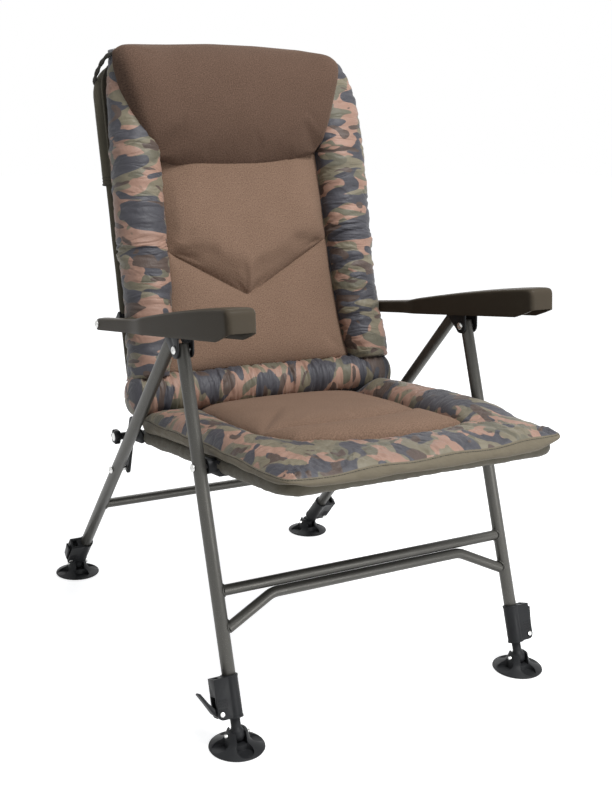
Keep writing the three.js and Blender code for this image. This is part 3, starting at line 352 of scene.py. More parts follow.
# %% Thread and elastic
thread = Finish("thread_dark")
twist = thread.noise(thread.object_place(), 900, 2)
thread.set({"Base Color": thread.mix(twist, (0.020, 0.018, 0.014), (0.040, 0.036, 0.028)),
            "Roughness": 0.8})
thread_dark = thread.material
print("finishes:", [m.name for m in bpy.data.materials if m.use_nodes])

# %% [markdown]
# Where things stand. The CAD model has a few tilted frames: seat, back, arms and the two pairs of
# legs each turn about a bolt that runs from side to side. The same frames are set up here as
# matrices, so a leg can be modelled upright, with its ball at the origin, and then be tilted.
# Pieces are written in millimetres, and these frames in metres.

# %% Frames of the chair
def tilted(y, z, degrees, x=0.0, turned=False):
    spin = Matrix.Rotation(math.pi, 4, "Z") if turned else Matrix.Identity(4)
    return Matrix.Translation((x, y, z)) @ Matrix.Rotation(math.radians(degrees), 4, "X") @ spin


seat_at = tilted(-0.214026, 0.418387, -7)
back_at = tilted(0.143419, 0.397973, -15.5)
arm_at = tilted(0.208922, 0.576006, -8.3)
leg_plane = 0.285
leg_place = {"front": (-0.3595, 0.023, -20.2), "rear": (0.4055, 0.023, 41.314)}
sides = (("left", 1), ("right", -1))


# %% Mesh helpers: an object from points and faces, set into its frame
def scaled(shape, factor=mm):
    points, faces = shape
    return [tuple(factor * c for c in p) for p in points], faces


def merged(shapes):
    """Several (points, faces) as one."""
    points, faces = [], []
    for more, polygons in shapes:
        faces += [tuple(i + len(points) for i in polygon) for polygon in polygons]
        points += more
    return points, faces


def shade(piece, sharp=38):
    piece.data.polygons.foreach_set("use_smooth", [True] * len(piece.data.polygons))
    piece.data.set_sharp_from_angle(angle=math.radians(sharp))


def linked(name, mesh):
    piece = bpy.data.objects.new(name, mesh)
    collection.objects.link(piece)
    return piece


def new_piece(name, points, faces, material, where=None, sharp=38):
    mesh = bpy.data.meshes.new(name)
    mesh.from_pydata([tuple(p) for p in points], [], [tuple(f) for f in faces])
    mesh.materials.append(material)
    piece = linked(name, mesh)
    if where is not None:
        mesh.transform(where)
    shade(piece, sharp)
    return piece


def settle(piece, body, slot_name, *nodes):
    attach(piece, body)
    if nodes:
        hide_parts(*nodes)
    return piece


def flatten(piece):
    """Turns an object with modifiers into a plain mesh."""
    graph = bpy.context.evaluated_depsgraph_get()
    mesh = bpy.data.meshes.new_from_object(piece.evaluated_get(graph), depsgraph=graph)
    piece.modifiers.clear()
    old, piece.data = piece.data, mesh
    bpy.data.meshes.remove(old)
    mesh.name = piece.name
    return piece


def rounded(piece, width, degrees=None, sharp=38):
    """Bevels every edge that turns by more than degrees, and applies all modifiers."""
    rounding = piece.modifiers.new("edges", "BEVEL")
    rounding.width, rounding.segments = width * mm, 2
    if degrees:
        rounding.limit_method, rounding.angle_limit = "ANGLE", math.radians(degrees)
    shade(flatten(piece), sharp)
    return piece


def thickened(piece, thickness):
    wall = piece.modifiers.new("wall", "SOLIDIFY")
    wall.thickness, wall.offset, wall.use_rim = thickness * mm, -1, True
    return wall


@contextmanager
def edited(piece):
    mesh = bmesh.new()
    mesh.from_mesh(piece.data)
    yield mesh
    mesh.to_mesh(piece.data)
    mesh.free()


def face_outwards(mesh, axis):
    """Makes the normals agree, and the outermost face along the axis look that way."""
    bmesh.ops.recalc_face_normals(mesh, faces=mesh.faces)
    last = max(mesh.faces, key=lambda face: face.calc_center_median()[axis])
    if last.normal[axis] < 0:
        bmesh.ops.reverse_faces(mesh, faces=mesh.faces)


def tidied(piece, degrees):
    """Merges double points, and faces that lie within degrees of one plane."""
    with edited(piece) as mesh:
        bmesh.ops.remove_doubles(mesh, verts=mesh.verts, dist=0.00002)
        bmesh.ops.dissolve_limit(mesh, angle_limit=math.radians(degrees), verts=mesh.verts,
                                 edges=mesh.edges)


def placed_copy(piece, name, where):
    copy = linked(name, piece.data.copy())
    copy.data.name = name
    copy.data.transform(where)
    return copy


def discard(*pieces):
    for piece in pieces:
        mesh = piece.data
        bpy.data.objects.remove(piece)
        bpy.data.meshes.remove(mesh)


# %% Round stock: a tube along a route, with bends, and a turned profile
def route(points, radius, steps=10):
    points = [Vector(p) for p in points]
    path = [points[0]]
    for before, corner, after in zip(points, points[1:], points[2:]):
        a, b = (before - corner).normalized(), (after - corner).normalized()
        half = a.angle(b) / 2
        centre = corner + (a + b).normalized() * (radius / math.sin(half))
        start = corner + a * (radius / math.tan(half)) - centre
        end = corner + b * (radius / math.tan(half)) - centre
        path += [centre + radius * start.slerp(end, k / steps) for k in range(steps + 1)]
    return path + [points[-1]]


def sweep(path, radius, count=32, bore=0.0, closed=False):
    path = [Vector(p) for p in path]
    last = len(path) - 1
    points, faces, tangents = [], [], []
    for i, here in enumerate(path):
        before = path[i - 1] if i or closed else here
        after = path[(i + 1) % len(path)] if i < last or closed else here
        tangents.append((after - before).normalized())
    normal = tangents[0].orthogonal().normalized()
    for i, here in enumerate(path):
        if i:
            normal = tangents[i - 1].rotation_difference(tangents[i]) @ normal
        side = tangents[i].cross(normal).normalized()
        normal = side.cross(tangents[i]).normalized()
        size = radius[i] if hasattr(radius, "__len__") else radius
        for reach_out in ((size, bore) if bore else (size,)):
            for k in range(count):
                angle = 2 * math.pi * k / count
                points.append(here + reach_out * (math.cos(angle) * normal
                                                  + math.sin(angle) * side))
    shells = 2 if bore else 1

    def at_ring(i, shell, k):
        return (i % len(path)) * count * shells + shell * count + k % count

    for i in range(len(path) if closed else last):
        for k in range(count):
            for shell, way in ((0, 1), (1, -1))[:shells]:
                quad = [at_ring(i, shell, k), at_ring(i, shell, k + 1),
                        at_ring(i + 1, shell, k + 1), at_ring(i + 1, shell, k)]
                faces.append(quad if way > 0 else [quad[1], quad[0], quad[3], quad[2]])
    if not closed:
        for i, way in ((0, 1), (last, -1)):
            if bore:
                for k in range(count):
                    quad = (at_ring(i, 0, k + 1), at_ring(i, 0, k), at_ring(i, 1, k),
                            at_ring(i, 1, k + 1))
                    faces.append(quad[::way])
            else:
                faces.append(tuple(at_ring(i, 0, k) for k in range(count))[::-way])
    return points, faces


def turned(profile, count=40):
    """A profile of (radius, height) spun about Z."""
    points, faces, rings = [], [], []
    for radius, height in profile:
        if radius < 1e-7:
            rings.append([len(points)])
            points.append((0, 0, height))
        else:
            rings.append(list(range(len(points), len(points) + count)))
            points += [(radius * math.cos(angle), radius * math.sin(angle), height)
                       for angle in (2 * math.pi * k / count for k in range(count))]
    for low, high in zip(rings, rings[1:]):
        for k in range(count):
            corners = [low[k % len(low)], low[(k + 1) % len(low)],
                       high[(k + 1) % len(high)], high[k % len(high)]]
            corners = list(dict.fromkeys(corners))
            if len(corners) > 2:
                faces.append(corners)
    return points, faces


def block(x0, x1, y0, y1, z0, z1):
    points = [(x, y, z) for z in (z0, z1) for y in (y0, y1) for x in (x0, x1)]
    return points, [(0, 2, 3, 1), (4, 5, 7, 6), (0, 1, 5, 4), (2, 6, 7, 3), (0, 4, 6, 2),
                    (1, 3, 7, 5)]


def rod(radius, start, end, count=32):
    return sweep([start, end], radius, count)


def slab(outline, low, high):
    """A flat outline of (x, z), made thick along Y."""
    count = len(outline)
    area = sum(a[0] * b[1] - b[0] * a[1] for a, b in zip(outline, outline[1:] + outline[:1]))
    if area > 0:
        outline = outline[::-1]
    points = [(a, y, b) for y in (low, high) for a, b in outline]
    walls = [(k, (k + 1) % count, count + (k + 1) % count, count + k) for k in range(count)]
    return points, [tuple(range(count))[::-1], tuple(range(count, 2 * count)), *walls]


def arc(cx, cy, radius, start, end, steps=8):
    angles = [math.radians(start + (end - start) * k / steps) for k in range(steps + 1)]
    return [(cx + radius * math.cos(a), cy + radius * math.sin(a)) for a in angles]


# %% [markdown]
# Moulded and pressed pieces are joined and cut from such stock with Boolean modifiers, and then
# every edge gets a small Bevel, because no real edge is perfectly sharp and it is the bevel that
# catches the light.

# %% Carving helper
def cut_with(piece, tools, joined=0):
    """Booleans: the first tools, as many as joined says, are added and the others cut away."""
    for i, tool in enumerate(tools):
        modifier = piece.modifiers.new("cut", "BOOLEAN")
        modifier.object, modifier.solver = tool, "EXACT"
        modifier.operation = "UNION" if i < joined else "DIFFERENCE"
    flatten(piece)
    discard(*tools)


def carved(name, material, joined, cuts=(), bevel=0.5, sharp=38):
    piece, *tools = [new_piece(f"{name}_stock_{i}", *scaled(shape), material)
                     for i, shape in enumerate([*joined, *cuts])]
    cut_with(piece, tools, len(joined) - 1)
    piece.name = piece.data.name = name
    tidied(piece, 1.5)
    if bevel:
        rounded(piece, bevel, 32, sharp)
    shade(piece, sharp)
    return piece


def cad_copy(node, name, material, bevel):
    """A copy of a CAD node with its loose triangles merged and its edges rounded."""
    piece = linked(name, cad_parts[node].data.copy())
    piece.data.materials.clear()
    piece.data.materials.append(material)
    tidied(piece, 2)
    return rounded(piece, bevel, 40)


# %% [markdown]
# A leg is a 22 mm tube that stands over the ball of its foot. Its top is closed by a low domed
# cap, and the tube's lower end disappears in the clamp collar. Leg length differs in front and
# behind, so the tube is swept anew for each pair and everything else is shared.

# %% Leg tubes
leg_length = {"front": 0.611, "rear": 0.80286}
past_the_bolt, tube_foot = 10, 58


def leg_matrix(end, sign, faced=True):
    y, z, degrees = leg_place[end]
    return tilted(y, z, degrees, sign * leg_plane, turned=faced and sign < 0)


for end in ("front", "rear"):
    top = leg_length[end] / mm + past_the_bolt
    wall = [(0, top - 2), (9.4, top - 2), (9.4, tube_foot)]
    dome_cap = [(10.2, tube_foot), (11, tube_foot + 0.8), (11, top - 3.2), (10.6, top - 1.2),
                (9.2, top - 0.3), (0, top)]
    shape = scaled(turned(wall + dome_cap, 44))
    for side, sign in sides:
        tube = new_piece(f"leg_tube_{end}_{side}", *shape, tube_paint, leg_matrix(end, sign), 50)
        settle(tube, f"{end}_legs", "leg_paint", f"{end}_leg_{side}")
print("leg tubes end at", {end: round(leg_length[end] + 0.01, 4) for end in leg_length})

# %% [markdown]
# The crossbars are welded between the legs. Each bar runs a little into the leg tube, and a weld
# bead follows the saddle-shaped line where the two round tubes meet. Below the straight front
# bar lies a second one, bent down at both ends and welded to it at two spots.

# %% Crossbars and weld beads
leg_x, bar_radius, sunk_in = 285, 9, 9.8
bar_end = leg_x - sunk_in


def saddle_line(sign, height, rise, count=40):
    """Where a bar of 9 mm radius meets a leg of 11 mm, the bar sloping by rise a millimetre."""
    round_bar, round_leg = 9.6, 11.4
    line = []
    for k in range(count):
        angle = 2 * math.pi * k / count
        y, z = round_bar * math.cos(angle), round_bar * math.sin(angle)
        inset = math.sqrt(max(round_leg ** 2 - y * y, 0))
        line.append((sign * (leg_x - inset), y, height + z - rise * inset))
    return line


def bar_with_welds(name, path, weld_height, rise, end, node):
    shapes = [sweep(path, bar_radius, 36)]
    for sign in (1, -1):
        line = saddle_line(sign, weld_height, rise)
        lumps = [1.5 + 0.35 * math.sin(2.6 * k) + 0.2 * math.sin(5.3 * k) for k in range(len(line))]
        shapes.append(sweep(line, lumps, 8, closed=True))
    bar = new_piece(name, *scaled(merged(shapes)), tube_paint, tilted(*leg_place[end]), 50)
    settle(bar, f"{end}_legs", "leg_paint", node)


def straight_bar(height):
    return [(-bar_end, 0, height), (bar_end, 0, height)]


bend_x, bend_z, low_z, leg_side = 189, 204.7, 161, leg_x - 5.5
slope = (bend_z - low_z) / (leg_side - bend_x)
foot_end = low_z + slope * (leg_side - bar_end)
lower = route([(-bar_end, 0, foot_end), (-bend_x, 0, bend_z), (bend_x, 0, bend_z),
               (bar_end, 0, foot_end)], 45)
bar_with_welds("crossbar_front_upper", straight_bar(223), 223, 0, "front", "front_crossbar_upper")
bar_with_welds("crossbar_front_lower", lower, foot_end - 4.5 * slope, -slope, "front",
               "front_crossbar_lower")
bar_with_welds("crossbar_rear", straight_bar(246), 246, 0, "rear", "rear_crossbar")
print("crossbars welded at", round(bar_end * mm, 4), "from the middle")

# %% [markdown]
# Below each tube comes the telescopic part: an inner tube that ends in a ball, a clamp collar
# that is pressed on the leg's end, and a cam lever that squeezes the collar. The collar has a
# head block, two ears that hold the lever's pin, and ribs between pin and block. All four are the
# same moulding, so each piece is carved once, upright, and copied into the four leg frames.

# %% Inner tube with its ball
ball_radius = 13
ball = [(ball_radius * math.sin(math.radians(a)), -ball_radius * math.cos(math.radians(a)))
        for a in range(8, 142, 8)]
stem = [(8, 11.2), (8, 230), (9.1, 230), (9.1, 249.5), (8.6, 250), (6.6, 250), (6.6, 27), (0, 26)]
inner_tube = carved("inner_tube", black_nylon, [turned([(0, -ball_radius), *ball, *stem])],
                    [rod(3.35, (-40, 0, 0), (40, 0, 0), 24)], bevel=0.25, sharp=45)


# %% Clamp collar
def along_z(radius, low, high, count=48):
    return rod(radius, (0, 0, low), (0, 0, high), count)


def pin_rod(radius, start, end, count=24):
    """A rod along the lever's pin."""
    return rod(radius, (25, start, 37), (25, end, 37), count)


ear = [(6, 27.5), (21.5, 27.5), (26, 28), (29.6, 30.2), (31.4, 33.6), (32, 37), (32, 64), (6, 64)]
collar = [along_z(13.5, 26, 93), along_z(14.3, 26, 29), along_z(14.1, 89.5, 92.6),
          slab(ear, 7.8, 11.8), slab(ear, -11.8, -7.8), block(6, 31.6, -11.8, 11.8, 63.7, 91.6)]
ribs = [block(14.4, 29.4, way * 11.6, way * 12.6, z, z + 1.5)
        for way in (1, -1) for z in (44, 48.4, 52.8, 57.2)]
hollows = [along_z(8.3, 0, 70, 40), along_z(11.3, 59.7, 120, 40), pin_rod(2.8, -40, 40),
           block(19, 28.6, -7, 7, 80, 100), block(12.6, 18, -1.2, 1.2, 20, 70)]
clamp = carved("clamp", black_nylon, collar + ribs, hollows, bevel=0.55, sharp=42)

# %% Cam lever and its pin
blade = [*arc(25, 37, 7, 160, 350, 12), (35.4, 44), (36.9, 64), (39, 83.2), (38.2, 84.2),
         (35.6, 84.2), (32.9, 66), (32.6, 64), (28.5, 48.9)]
lever = carved("lever", black_nylon, [slab(blade, -7.2, 7.2)],
               [pin_rod(2.85, -20, 20), block(29.8, 31.4, -4.6, 4.6, 52, 60)], bevel=0.6, sharp=42)
pin = carved("pin", zinc, [pin_rod(2.5, -13.2, 13.2), pin_rod(4, 12.1, 13.4, 28),
                           pin_rod(4, -12.1, -13.4, 28)], bevel=0.35)

# %% [markdown]
# The mud foot is a wide saucer that keeps the leg from sinking. A cup in its middle holds the ball,
# with a slot for the leg to tilt through, and four round pockets leave four webs that brace the
# cup. It is carved from a turned body: a few rings make the thin saucer rim and the steeper cup.

# %% Mud foot
ball_height, cup_radius, pocket_at = 23, 14.1, 29
saucer = [(0, 0), (42.6, 0), (44.2, 0.5), (45, 1.7), (44.6, 2.9), (43.2, 3.5), (34, 8.2),
          (24, 12.8), (21, 16.5), (19.2, 21), (16.4, 29.6), (15.6, 31), (11.6, 31)]
cup = [(cup_radius * math.cos(math.radians(a)),
        ball_height + cup_radius * math.sin(math.radians(a))) for a in range(34, -90, -10)]
body = [(r, z - ball_height) for r, z in [*saucer, *cup, (0, 8.9)]]
keep = [(0, -40), (19.6, -40), (19.6, -8), (18.2, 0), (15, 9), (15, 40), (0, 40)]
foot = carved("foot", black_nylon, [turned(body, 64)], [block(-9, 9, -45, 45, -10, 40)], bevel=0)
pockets = []
for quarter in range(4):
    x, y = (pocket_at * turn(quarter * math.pi / 2) for turn in (math.cos, math.sin))
    pockets.append(carved("pocket", black_nylon, [rod(14, (x, y, -19.4), (x, y, 40), 40)],
                          [turned(keep)], bevel=0))
cut_with(foot, pockets)
rounded(foot, 0.7, 34, 42)
foot_pin = new_piece("foot_pin", *scaled(rod(3, (-21.5, 0, 0), (21.5, 0, 0), 28)), zinc)
rounded(foot_pin, 0.6)
print("foot faces", len(foot.data.polygons), "clamp faces", len(clamp.data.polygons))

# %% Set the four lower legs in place
hinge, open_lever = Matrix.Translation((25 * mm, 0, 37 * mm)), {"front_right": 25}
for end in ("front", "rear"):
    for side, sign in sides:
        where, tag = leg_matrix(end, sign), f"{end}_{side}"
        ground = Matrix.Translation((sign * leg_plane, leg_place[end][0], leg_place[end][1]))
        splay = Matrix.Rotation(math.radians(open_lever.get(tag, 0)), 4, "Y")
        opened = where @ hinge @ splay @ hinge.inverted()
        legs, foot_body = f"{end}_legs", f"foot_{tag}"
        for piece, name, at_place, body, slot_name, nodes in (
                (inner_tube, "inner_tube", where, f"leg_extension_{tag}", "black_plastic",
                 ["leg_extension"]),
                (clamp, "clamp", where, legs, "black_plastic", ["leg_clamp"]),
                (pin, "clamp_pin", where, legs, "bolt_steel", ["cam_pin"]),
                (lever, "lever", opened, f"cam_lever_{tag}", "black_plastic", ["cam_lever"]),
                (foot, "mud_foot", ground, foot_body, "black_plastic", ["foot"]),
                (foot_pin, "mud_foot_pin", ground, foot_body, "bolt_steel", [])):
            settle(placed_copy(piece, f"{name}_{tag}", at_place), body, slot_name,
                   *[f"{node}_{tag}" for node in nodes])
discard(inner_tube, clamp, pin, lever, foot, foot_pin)

# %% [markdown]
# The small fittings: saddles under the rails, hinge plates, lugs, lock bars, the brackets under the
# arms and all the bolts. Their shapes in the CAD model are right, so each is copied from there,
# its loose triangles are merged, and its edges are rounded.

# %% Small fittings with rounded edges
for node, rides_on, width in (("seat_saddle", "seat", 0.8), ("hinge_plate", "seat", 0.6),
                              ("arm_lug", "back", 0.7), ("lock_bar", "rear_legs", 0.7),
                              ("arm_bracket", "arms", 0.6)):
    for side, sign in sides:
        name = f"{node}_{side}"
        fitting = cad_copy(name, f"{name}_shown", black_nylon, width)
        settle(fitting, rides_on, "black_plastic", name)


# %% Bolts: a domed head with a hexagon socket, and a shank
head_height, head_profile = 3.4, [(0, 0), (7, 0), (6.9, 1.2), (6.2, 2.4), (4.6, 3.3), (0, 3.4)]


def x_rod(radius, start, end, count):
    return rod(radius, (start, 0, 0), (end, 0, 0), count)


def bolt_head(x, way):
    """A dome of 14 mm across that stands on the plane x and points along way."""
    points, faces = turned(head_profile, 32)
    spun = Matrix.Rotation(math.radians(90 * way), 4, "Y")
    return [tuple(spun @ Vector(p) + Vector((x, 0, 0))) for p in points], faces


def bolt(name, node, rides_on, place, sign, inside, outside, heads):
    """A shank from inside to outside, and a head at each (distance, direction) of heads."""
    joined, sockets = [x_rod(4, sign * inside, sign * outside, 28)], []
    for x, way in heads:
        joined.append(bolt_head(sign * x, sign * way))
        tip = x + head_height * way
        sockets.append(x_rod(2.1, sign * (tip - 1.9 * way), sign * (tip + 2 * way), 6))
    piece = carved(name, zinc, joined, sockets, bevel=0.25)
    piece.data.transform(place)
    settle(piece, rides_on, "bolt_steel", node)


both_heads = [(299.9, 1), (270.1, -1)]
for side, sign in sides:
    for name, node, body, place, inside, outside, heads in (
            ("seat_bolt", "seat_pivot_bolt", "front_legs", seat_at, 237.2, 297.5, [(296.3, 1)]),
            ("lock_bolt", "lock_bar_bolt", "rear_legs", tilted(0.156895, 0.305844, 41.314),
             261.6, 297.5, [(296.6, 1)]),
            ("front_arm_bolt", "arm_front_bolt", "arms", tilted(-0.148523, 0.596419, -8.3),
             269, 301, both_heads),
            ("rear_arm_bolt", "arm_rear_bolt", "arms", tilted(-0.124523, 0.626019, -8.3),
             269, 301, both_heads),
            ("end_arm_bolt", "arm_end_bolt", "arms", arm_at, 258.7, 301, [(300.3, 1)])):
        bolt(f"{name}_{side}", f"{node}_{side}", body, place, sign, inside, outside, heads)

# %% [markdown]
# The hinge knob is a six-lobed star with a shallow dish on its face, and a plated disc is pressed
# into the dish. Its outline is one circle whose radius swings six times, and the head is built up
# from such outlines of changing size, as on a lathe that follows the star.

# %% Hinge knobs
def star_ring(radius, swing, x, count=72):
    angles = [2 * math.pi * k / count for k in range(count)]
    sizes = [radius + swing * math.cos(6 * a) for a in angles]
    return [(x, size * math.cos(a), size * math.sin(a)) for a, size in zip(angles, sizes)]


def ring_faces(rows, count, closed=True):
    """Quads between the rows of a grid of rows x count points, closed to a loop or not."""
    return [(i * count + k, i * count + (k + 1) % count, (i + 1) * count + (k + 1) % count,
             (i + 1) * count + k)
            for i in range(rows - 1) for k in range(count if closed else count - 1)]


def lofted(rings):
    rows, count = len(rings), len(rings[0])
    caps = [tuple(range(count))[::-1], tuple(range((rows - 1) * count, rows * count))]
    return [p for loop in rings for p in loop], ring_faces(rows, count) + caps


knob_at = Matrix.Translation((0, 0.140579, 0.374847))
knob_steps = [(6.8, 0, 265.6), (6.8, 0, 285), (11.6, 1.2, 286), (12.9, 1.5, 288), (13, 1.5, 294),
              (12.2, 1.4, 296.4), (10.4, 0.8, 297.2), (8.6, 0, 297.2), (8.3, 0, 296.4)]
for side, sign in sides:
    head = lofted([star_ring(radius, swing, x * sign) for radius, swing, x in knob_steps])
    knob = carved(f"knob_{side}", black_nylon,
                  [head, x_rod(3.9, sign * 233.4, sign * 270, 24),
                   x_rod(7, sign * 233.2, sign * 237.1, 6)], bevel=0, sharp=42)
    disc = carved(f"knob_disc_{side}", zinc, [x_rod(8, sign * 296, sign * 297.3, 40)], bevel=0.4)
    for piece, slot_name, nodes in ((knob, "black_plastic", [f"hinge_knob_{side}"]),
                                    (disc, "bolt_steel", [])):
        piece.data.transform(knob_at)
        settle(piece, f"knob_{side}", slot_name, *nodes)

# %% [markdown]
# The armrests are hollow mouldings, open underneath. Seen from the side each is thin behind, rises
# in a long curve to a thick front and ends in a rounded nose; seen from above the thin part is
# narrower. So the outside is lofted from cross sections along its length: both side walls and the
# top, with rounded shoulders. At the nose the width follows a rounded plan and closes on a line.
# Solidify gives the 3 mm wall, and ribs cross the hollow, as in the real moulding.

# %% Armrest shell
arm_rear, arm_front, nose_start, nose_pull = 11, -570, -561, 9
tops = [(arm_rear, 0), (9, 6.4), (6, 9.2), (2, 10.7), (0, 11), (-60, 11.6), (-120, 12.4),
        (-192, 13.9), (-239, 19.3), (-302, 24.8), (-376, 30.6), (-456, 35.4), (-513, 37.6),
        (-545, 38.3), (-559, 37.8), (-563.5, 36.6), (-566.8, 34.4), (-569.1, 31.2), (arm_front, 27)]
lows = [(arm_rear, 0), (6, -9.2), (0, -11), (-524, -11), (-546, -5.6), (arm_front, 1.5)]
stations = [11, 10.4, 8.8, 6, 2.5, -2, -8, -20, -45, -75, -105, -135, -155, -170, -185, -200, -215,
            -230, -245, -262, -280, -300, -325, -350, -380, -410, -440, -470, -495, -512, -524,
            -536, -547, -555, -561, -563.5, -565.8, -567.7, -569.1, -569.8, -570]


def at(table, y):
    for (y0, v0), (y1, v1) in zip(table, table[1:]):
        if y1 <= y <= y0:
            return v0 + (v1 - v0) * (y0 - y) / (y0 - y1)
    return table[-1][1]


def smooth_at(table, y, reach_of=9):
    return sum(at(table, max(arm_front, min(arm_rear, y + d)))
               for d in (-reach_of, 0, reach_of)) / 3


def arm_section(y, sign, steps=9):
    """Points up the inner wall, over a shoulder, the top and a shoulder, and down outside."""
    widens_from, widens_over = -240, 86
    narrow = max(0, min(1, (y - widens_from) / widens_over))
    narrow = narrow * narrow * (3 - 2 * narrow)
    inner, outer = 257 + 15 * narrow, 307 - 7 * narrow
    if y < nose_start:
        share = min(1, (nose_start - y) / nose_pull)
        pull = nose_pull * (1 - math.sqrt(1 - share ** 2))
        inner, outer = inner + pull, outer - pull
    top = smooth_at(tops, y) if -530 < y < -20 else at(tops, y)
    low = at(lows, y)
    bulge = min(1.6, (outer - inner) * 0.04)
    radius = min(5.5 + 1.5 * (1 - narrow) * min(1, max(0, (-y - 300) / 200)), (top - low) * 0.48,
                 (outer - inner) * 0.49)
    wall, flat = top - radius - low, (outer - inner) - 2 * radius
    sixths = [k / 6 for k in range(7)]
    corners = [math.pi / 2 * k / steps for k in range(steps + 1)]
    loop = [(inner + bulge * (1 - share) * 0.4, low + wall * share) for share in sixths]
    loop += [(inner + radius - radius * math.cos(a), top - radius + radius * math.sin(a))
             for a in corners[1:]]
    loop += [(inner + radius + flat * share, top + bulge * 0.5 * math.sin(math.pi * share))
             for share in sixths[1:-1]]
    loop += [(outer - radius + radius * math.sin(a), top - radius + radius * math.cos(a))
             for a in corners]
    loop += [(outer - bulge * share * 0.4, top - radius - wall * share) for share in sixths[1:]]
    return [(sign * x, y, z) for x, z in loop]


def arm_rib(y, sign):
    """A rib 2 mm thick that follows the roof of the hollow."""
    roof = [(x, z) for x, _, z in arm_section(y, sign)]
    middle_x = sum(x for x, _ in roof) / len(roof)
    edge = [(middle_x + (x - middle_x) * 0.9, z - 2) for x, z in roof if z > 2]
    low = 4 if y > -500 else 8
    edge = [(edge[0][0], low), *edge, (edge[-1][0], low)]
    n = len(edge)
    return ([(x, y + way, z) for way in (-1, 1) for x, z in edge],
            [tuple(range(n)), tuple(range(2 * n - 1, n - 1, -1))]
            + [(k, n + k, n + (k + 1) % n, (k + 1) % n) for k in range(n)])


for side, sign in sides:
    rings = [arm_section(y, sign) for y in stations]
    rows, count = len(rings), len(rings[0])
    faces = [(i * count + k, (i + 1) * count + k, (i + 1) * count + k + 1, i * count + k + 1)
             for i in range(rows - 1) for k in range(count - 1)]
    faces.append([(rows - 1) * count + k for k in range(count)])
    shell = new_piece(f"armrest_{side}", *scaled(([p for ring in rings for p in ring], faces)),
                      arm_moulding)
    with edited(shell) as mesh:
        bmesh.ops.remove_doubles(mesh, verts=mesh.verts, dist=0.00005)
        face_outwards(mesh, 2)
    thickened(shell, 3).use_even_offset = True
    rounded(shell, 0.6, 50, 45)
    shell.data.transform(arm_at)
    settle(shell, "arms", "arm_plastic", f"arm_{side}")
    ribs = merged([arm_rib(y, sign) for y in (-255, -300, -345, -390, -435, -480, -520)])
    rib_piece = new_piece(f"armrest_ribs_{side}", *scaled(ribs), arm_moulding, arm_at)
    with edited(rib_piece) as mesh:
        bmesh.ops.recalc_face_normals(mesh, faces=mesh.faces)
    settle(rib_piece, "arms", "arm_plastic")
print("armrest faces", len(shell.data.polygons))

# %% [markdown]
# The seat and back frames are bent from one length of 19 mm tube each, as a U with a welded cross
# tie. The frame's bends are swept along an arc, and the open ends get plastic plugs. Holes for
# the bolts are not drilled here, because the bolts and plates cover them.

# %% Seat frame and back frame
frame_radius, frame_bore, plug_radius = 9.5, 8, 9.3
rail_x, rail_front, rail_end, tie_y = 247, -221.75, 370.3, 282.3
post_x, post_top, tie_z, tie_inset = 226, 655, 62, 9


def bent_tube(name, points, bend, tie, node, body, where, plug_ends):
    """plug_ends are the two ends of the plug on the +X side; the other one mirrors it."""
    shapes = [sweep(route(points, bend, 12), frame_radius, 32, bore=frame_bore),
              rod(frame_radius, *tie)]
    tube = new_piece(name, *scaled(merged(shapes)), tube_paint, where, 50)
    settle(tube, body, "leg_paint", node)
    for i, sign in enumerate((1, -1)):
        ends = [(sign * x, y, z) for x, y, z in plug_ends]
        plug = carved(f"{name}_plug_{i}", black_nylon, [rod(plug_radius, *ends, 28)], bevel=1.2)
        plug.data.transform(where)
        settle(plug, body, "black_plastic")


bent_tube("seat_tube", [(rail_x, rail_end, 0), (rail_x, rail_front, 0), (-rail_x, rail_front, 0),
                        (-rail_x, rail_end, 0)], 28,
          [(tie_inset - rail_x, tie_y, 0), (rail_x - tie_inset, tie_y, 0)], "seat_frame", "seat",
          seat_at,
          [(rail_x, rail_end - 6, 0), (rail_x, rail_end + 2, 0)])
bent_tube("back_tube", [(post_x, 0, -12), (post_x, 0, post_top), (-post_x, 0, post_top),
                        (-post_x, 0, -12)], 60,
          [(tie_inset - post_x, 0, tie_z), (post_x - tie_inset, 0, tie_z)], "back_frame", "back",
          back_at,
          [(post_x, 0, -6), (post_x, 0, -14)])

# %% [markdown]
# The sewn pieces. A cushion is cut from flat cloth, sewn along seams and stuffed, so the way to
# model one is to do the same: draw a grid whose lines include every seam, give it a first rounded
# form, hold the seams, and let Blender's cloth solver blow up what lies between. The grid's
# second coordinate set is the flat cut. Where the cut is longer than its place, the cloth
# gathers, which is how the rolls get their puckers.

# %% Distances to seam lines, soft steps and lumps
def near(points, line):
    """The distance in the plane from each point to a line of points."""
    line = np.asarray(line, float)
    best = np.full(points.shape[:-1], 1e9)
    for a, b in zip(line, line[1:]):
        step = b - a
        share = np.clip(((points - a) @ step) / (math.hypot(*step) ** 2 + 1e-12), 0, 1)
        best = np.minimum(best, np.linalg.norm(points - a - share[..., None] * step, axis=-1))
    return best


def dome(distance, reach):
    share = np.clip(distance / reach, 0, 1)
    return np.sqrt(np.clip(1 - (1 - share) ** 2, 0, 1))


def ease(low, high, value):
    share = np.clip((np.asarray(value, float) - low) / (high - low), 0, 1)
    return share * share * (3 - 2 * share)


def bell(offset, width):
    return np.exp(-(offset / width) ** 2)


def signed_power(value, power):
    return np.sign(value) * np.abs(value) ** power


def lines_between(*knots):
    """Grid lines that pass through every knot: (knot, number of steps to the next one)."""
    lines = []
    for (start, steps), (end, _) in zip(knots, knots[1:]):
        lines += [start + (end - start) * k / steps for k in range(steps)]
    return np.array(lines + [knots[-1][0]])


def index_of(lines, value):
    return int(np.argmin(np.abs(lines - value)))


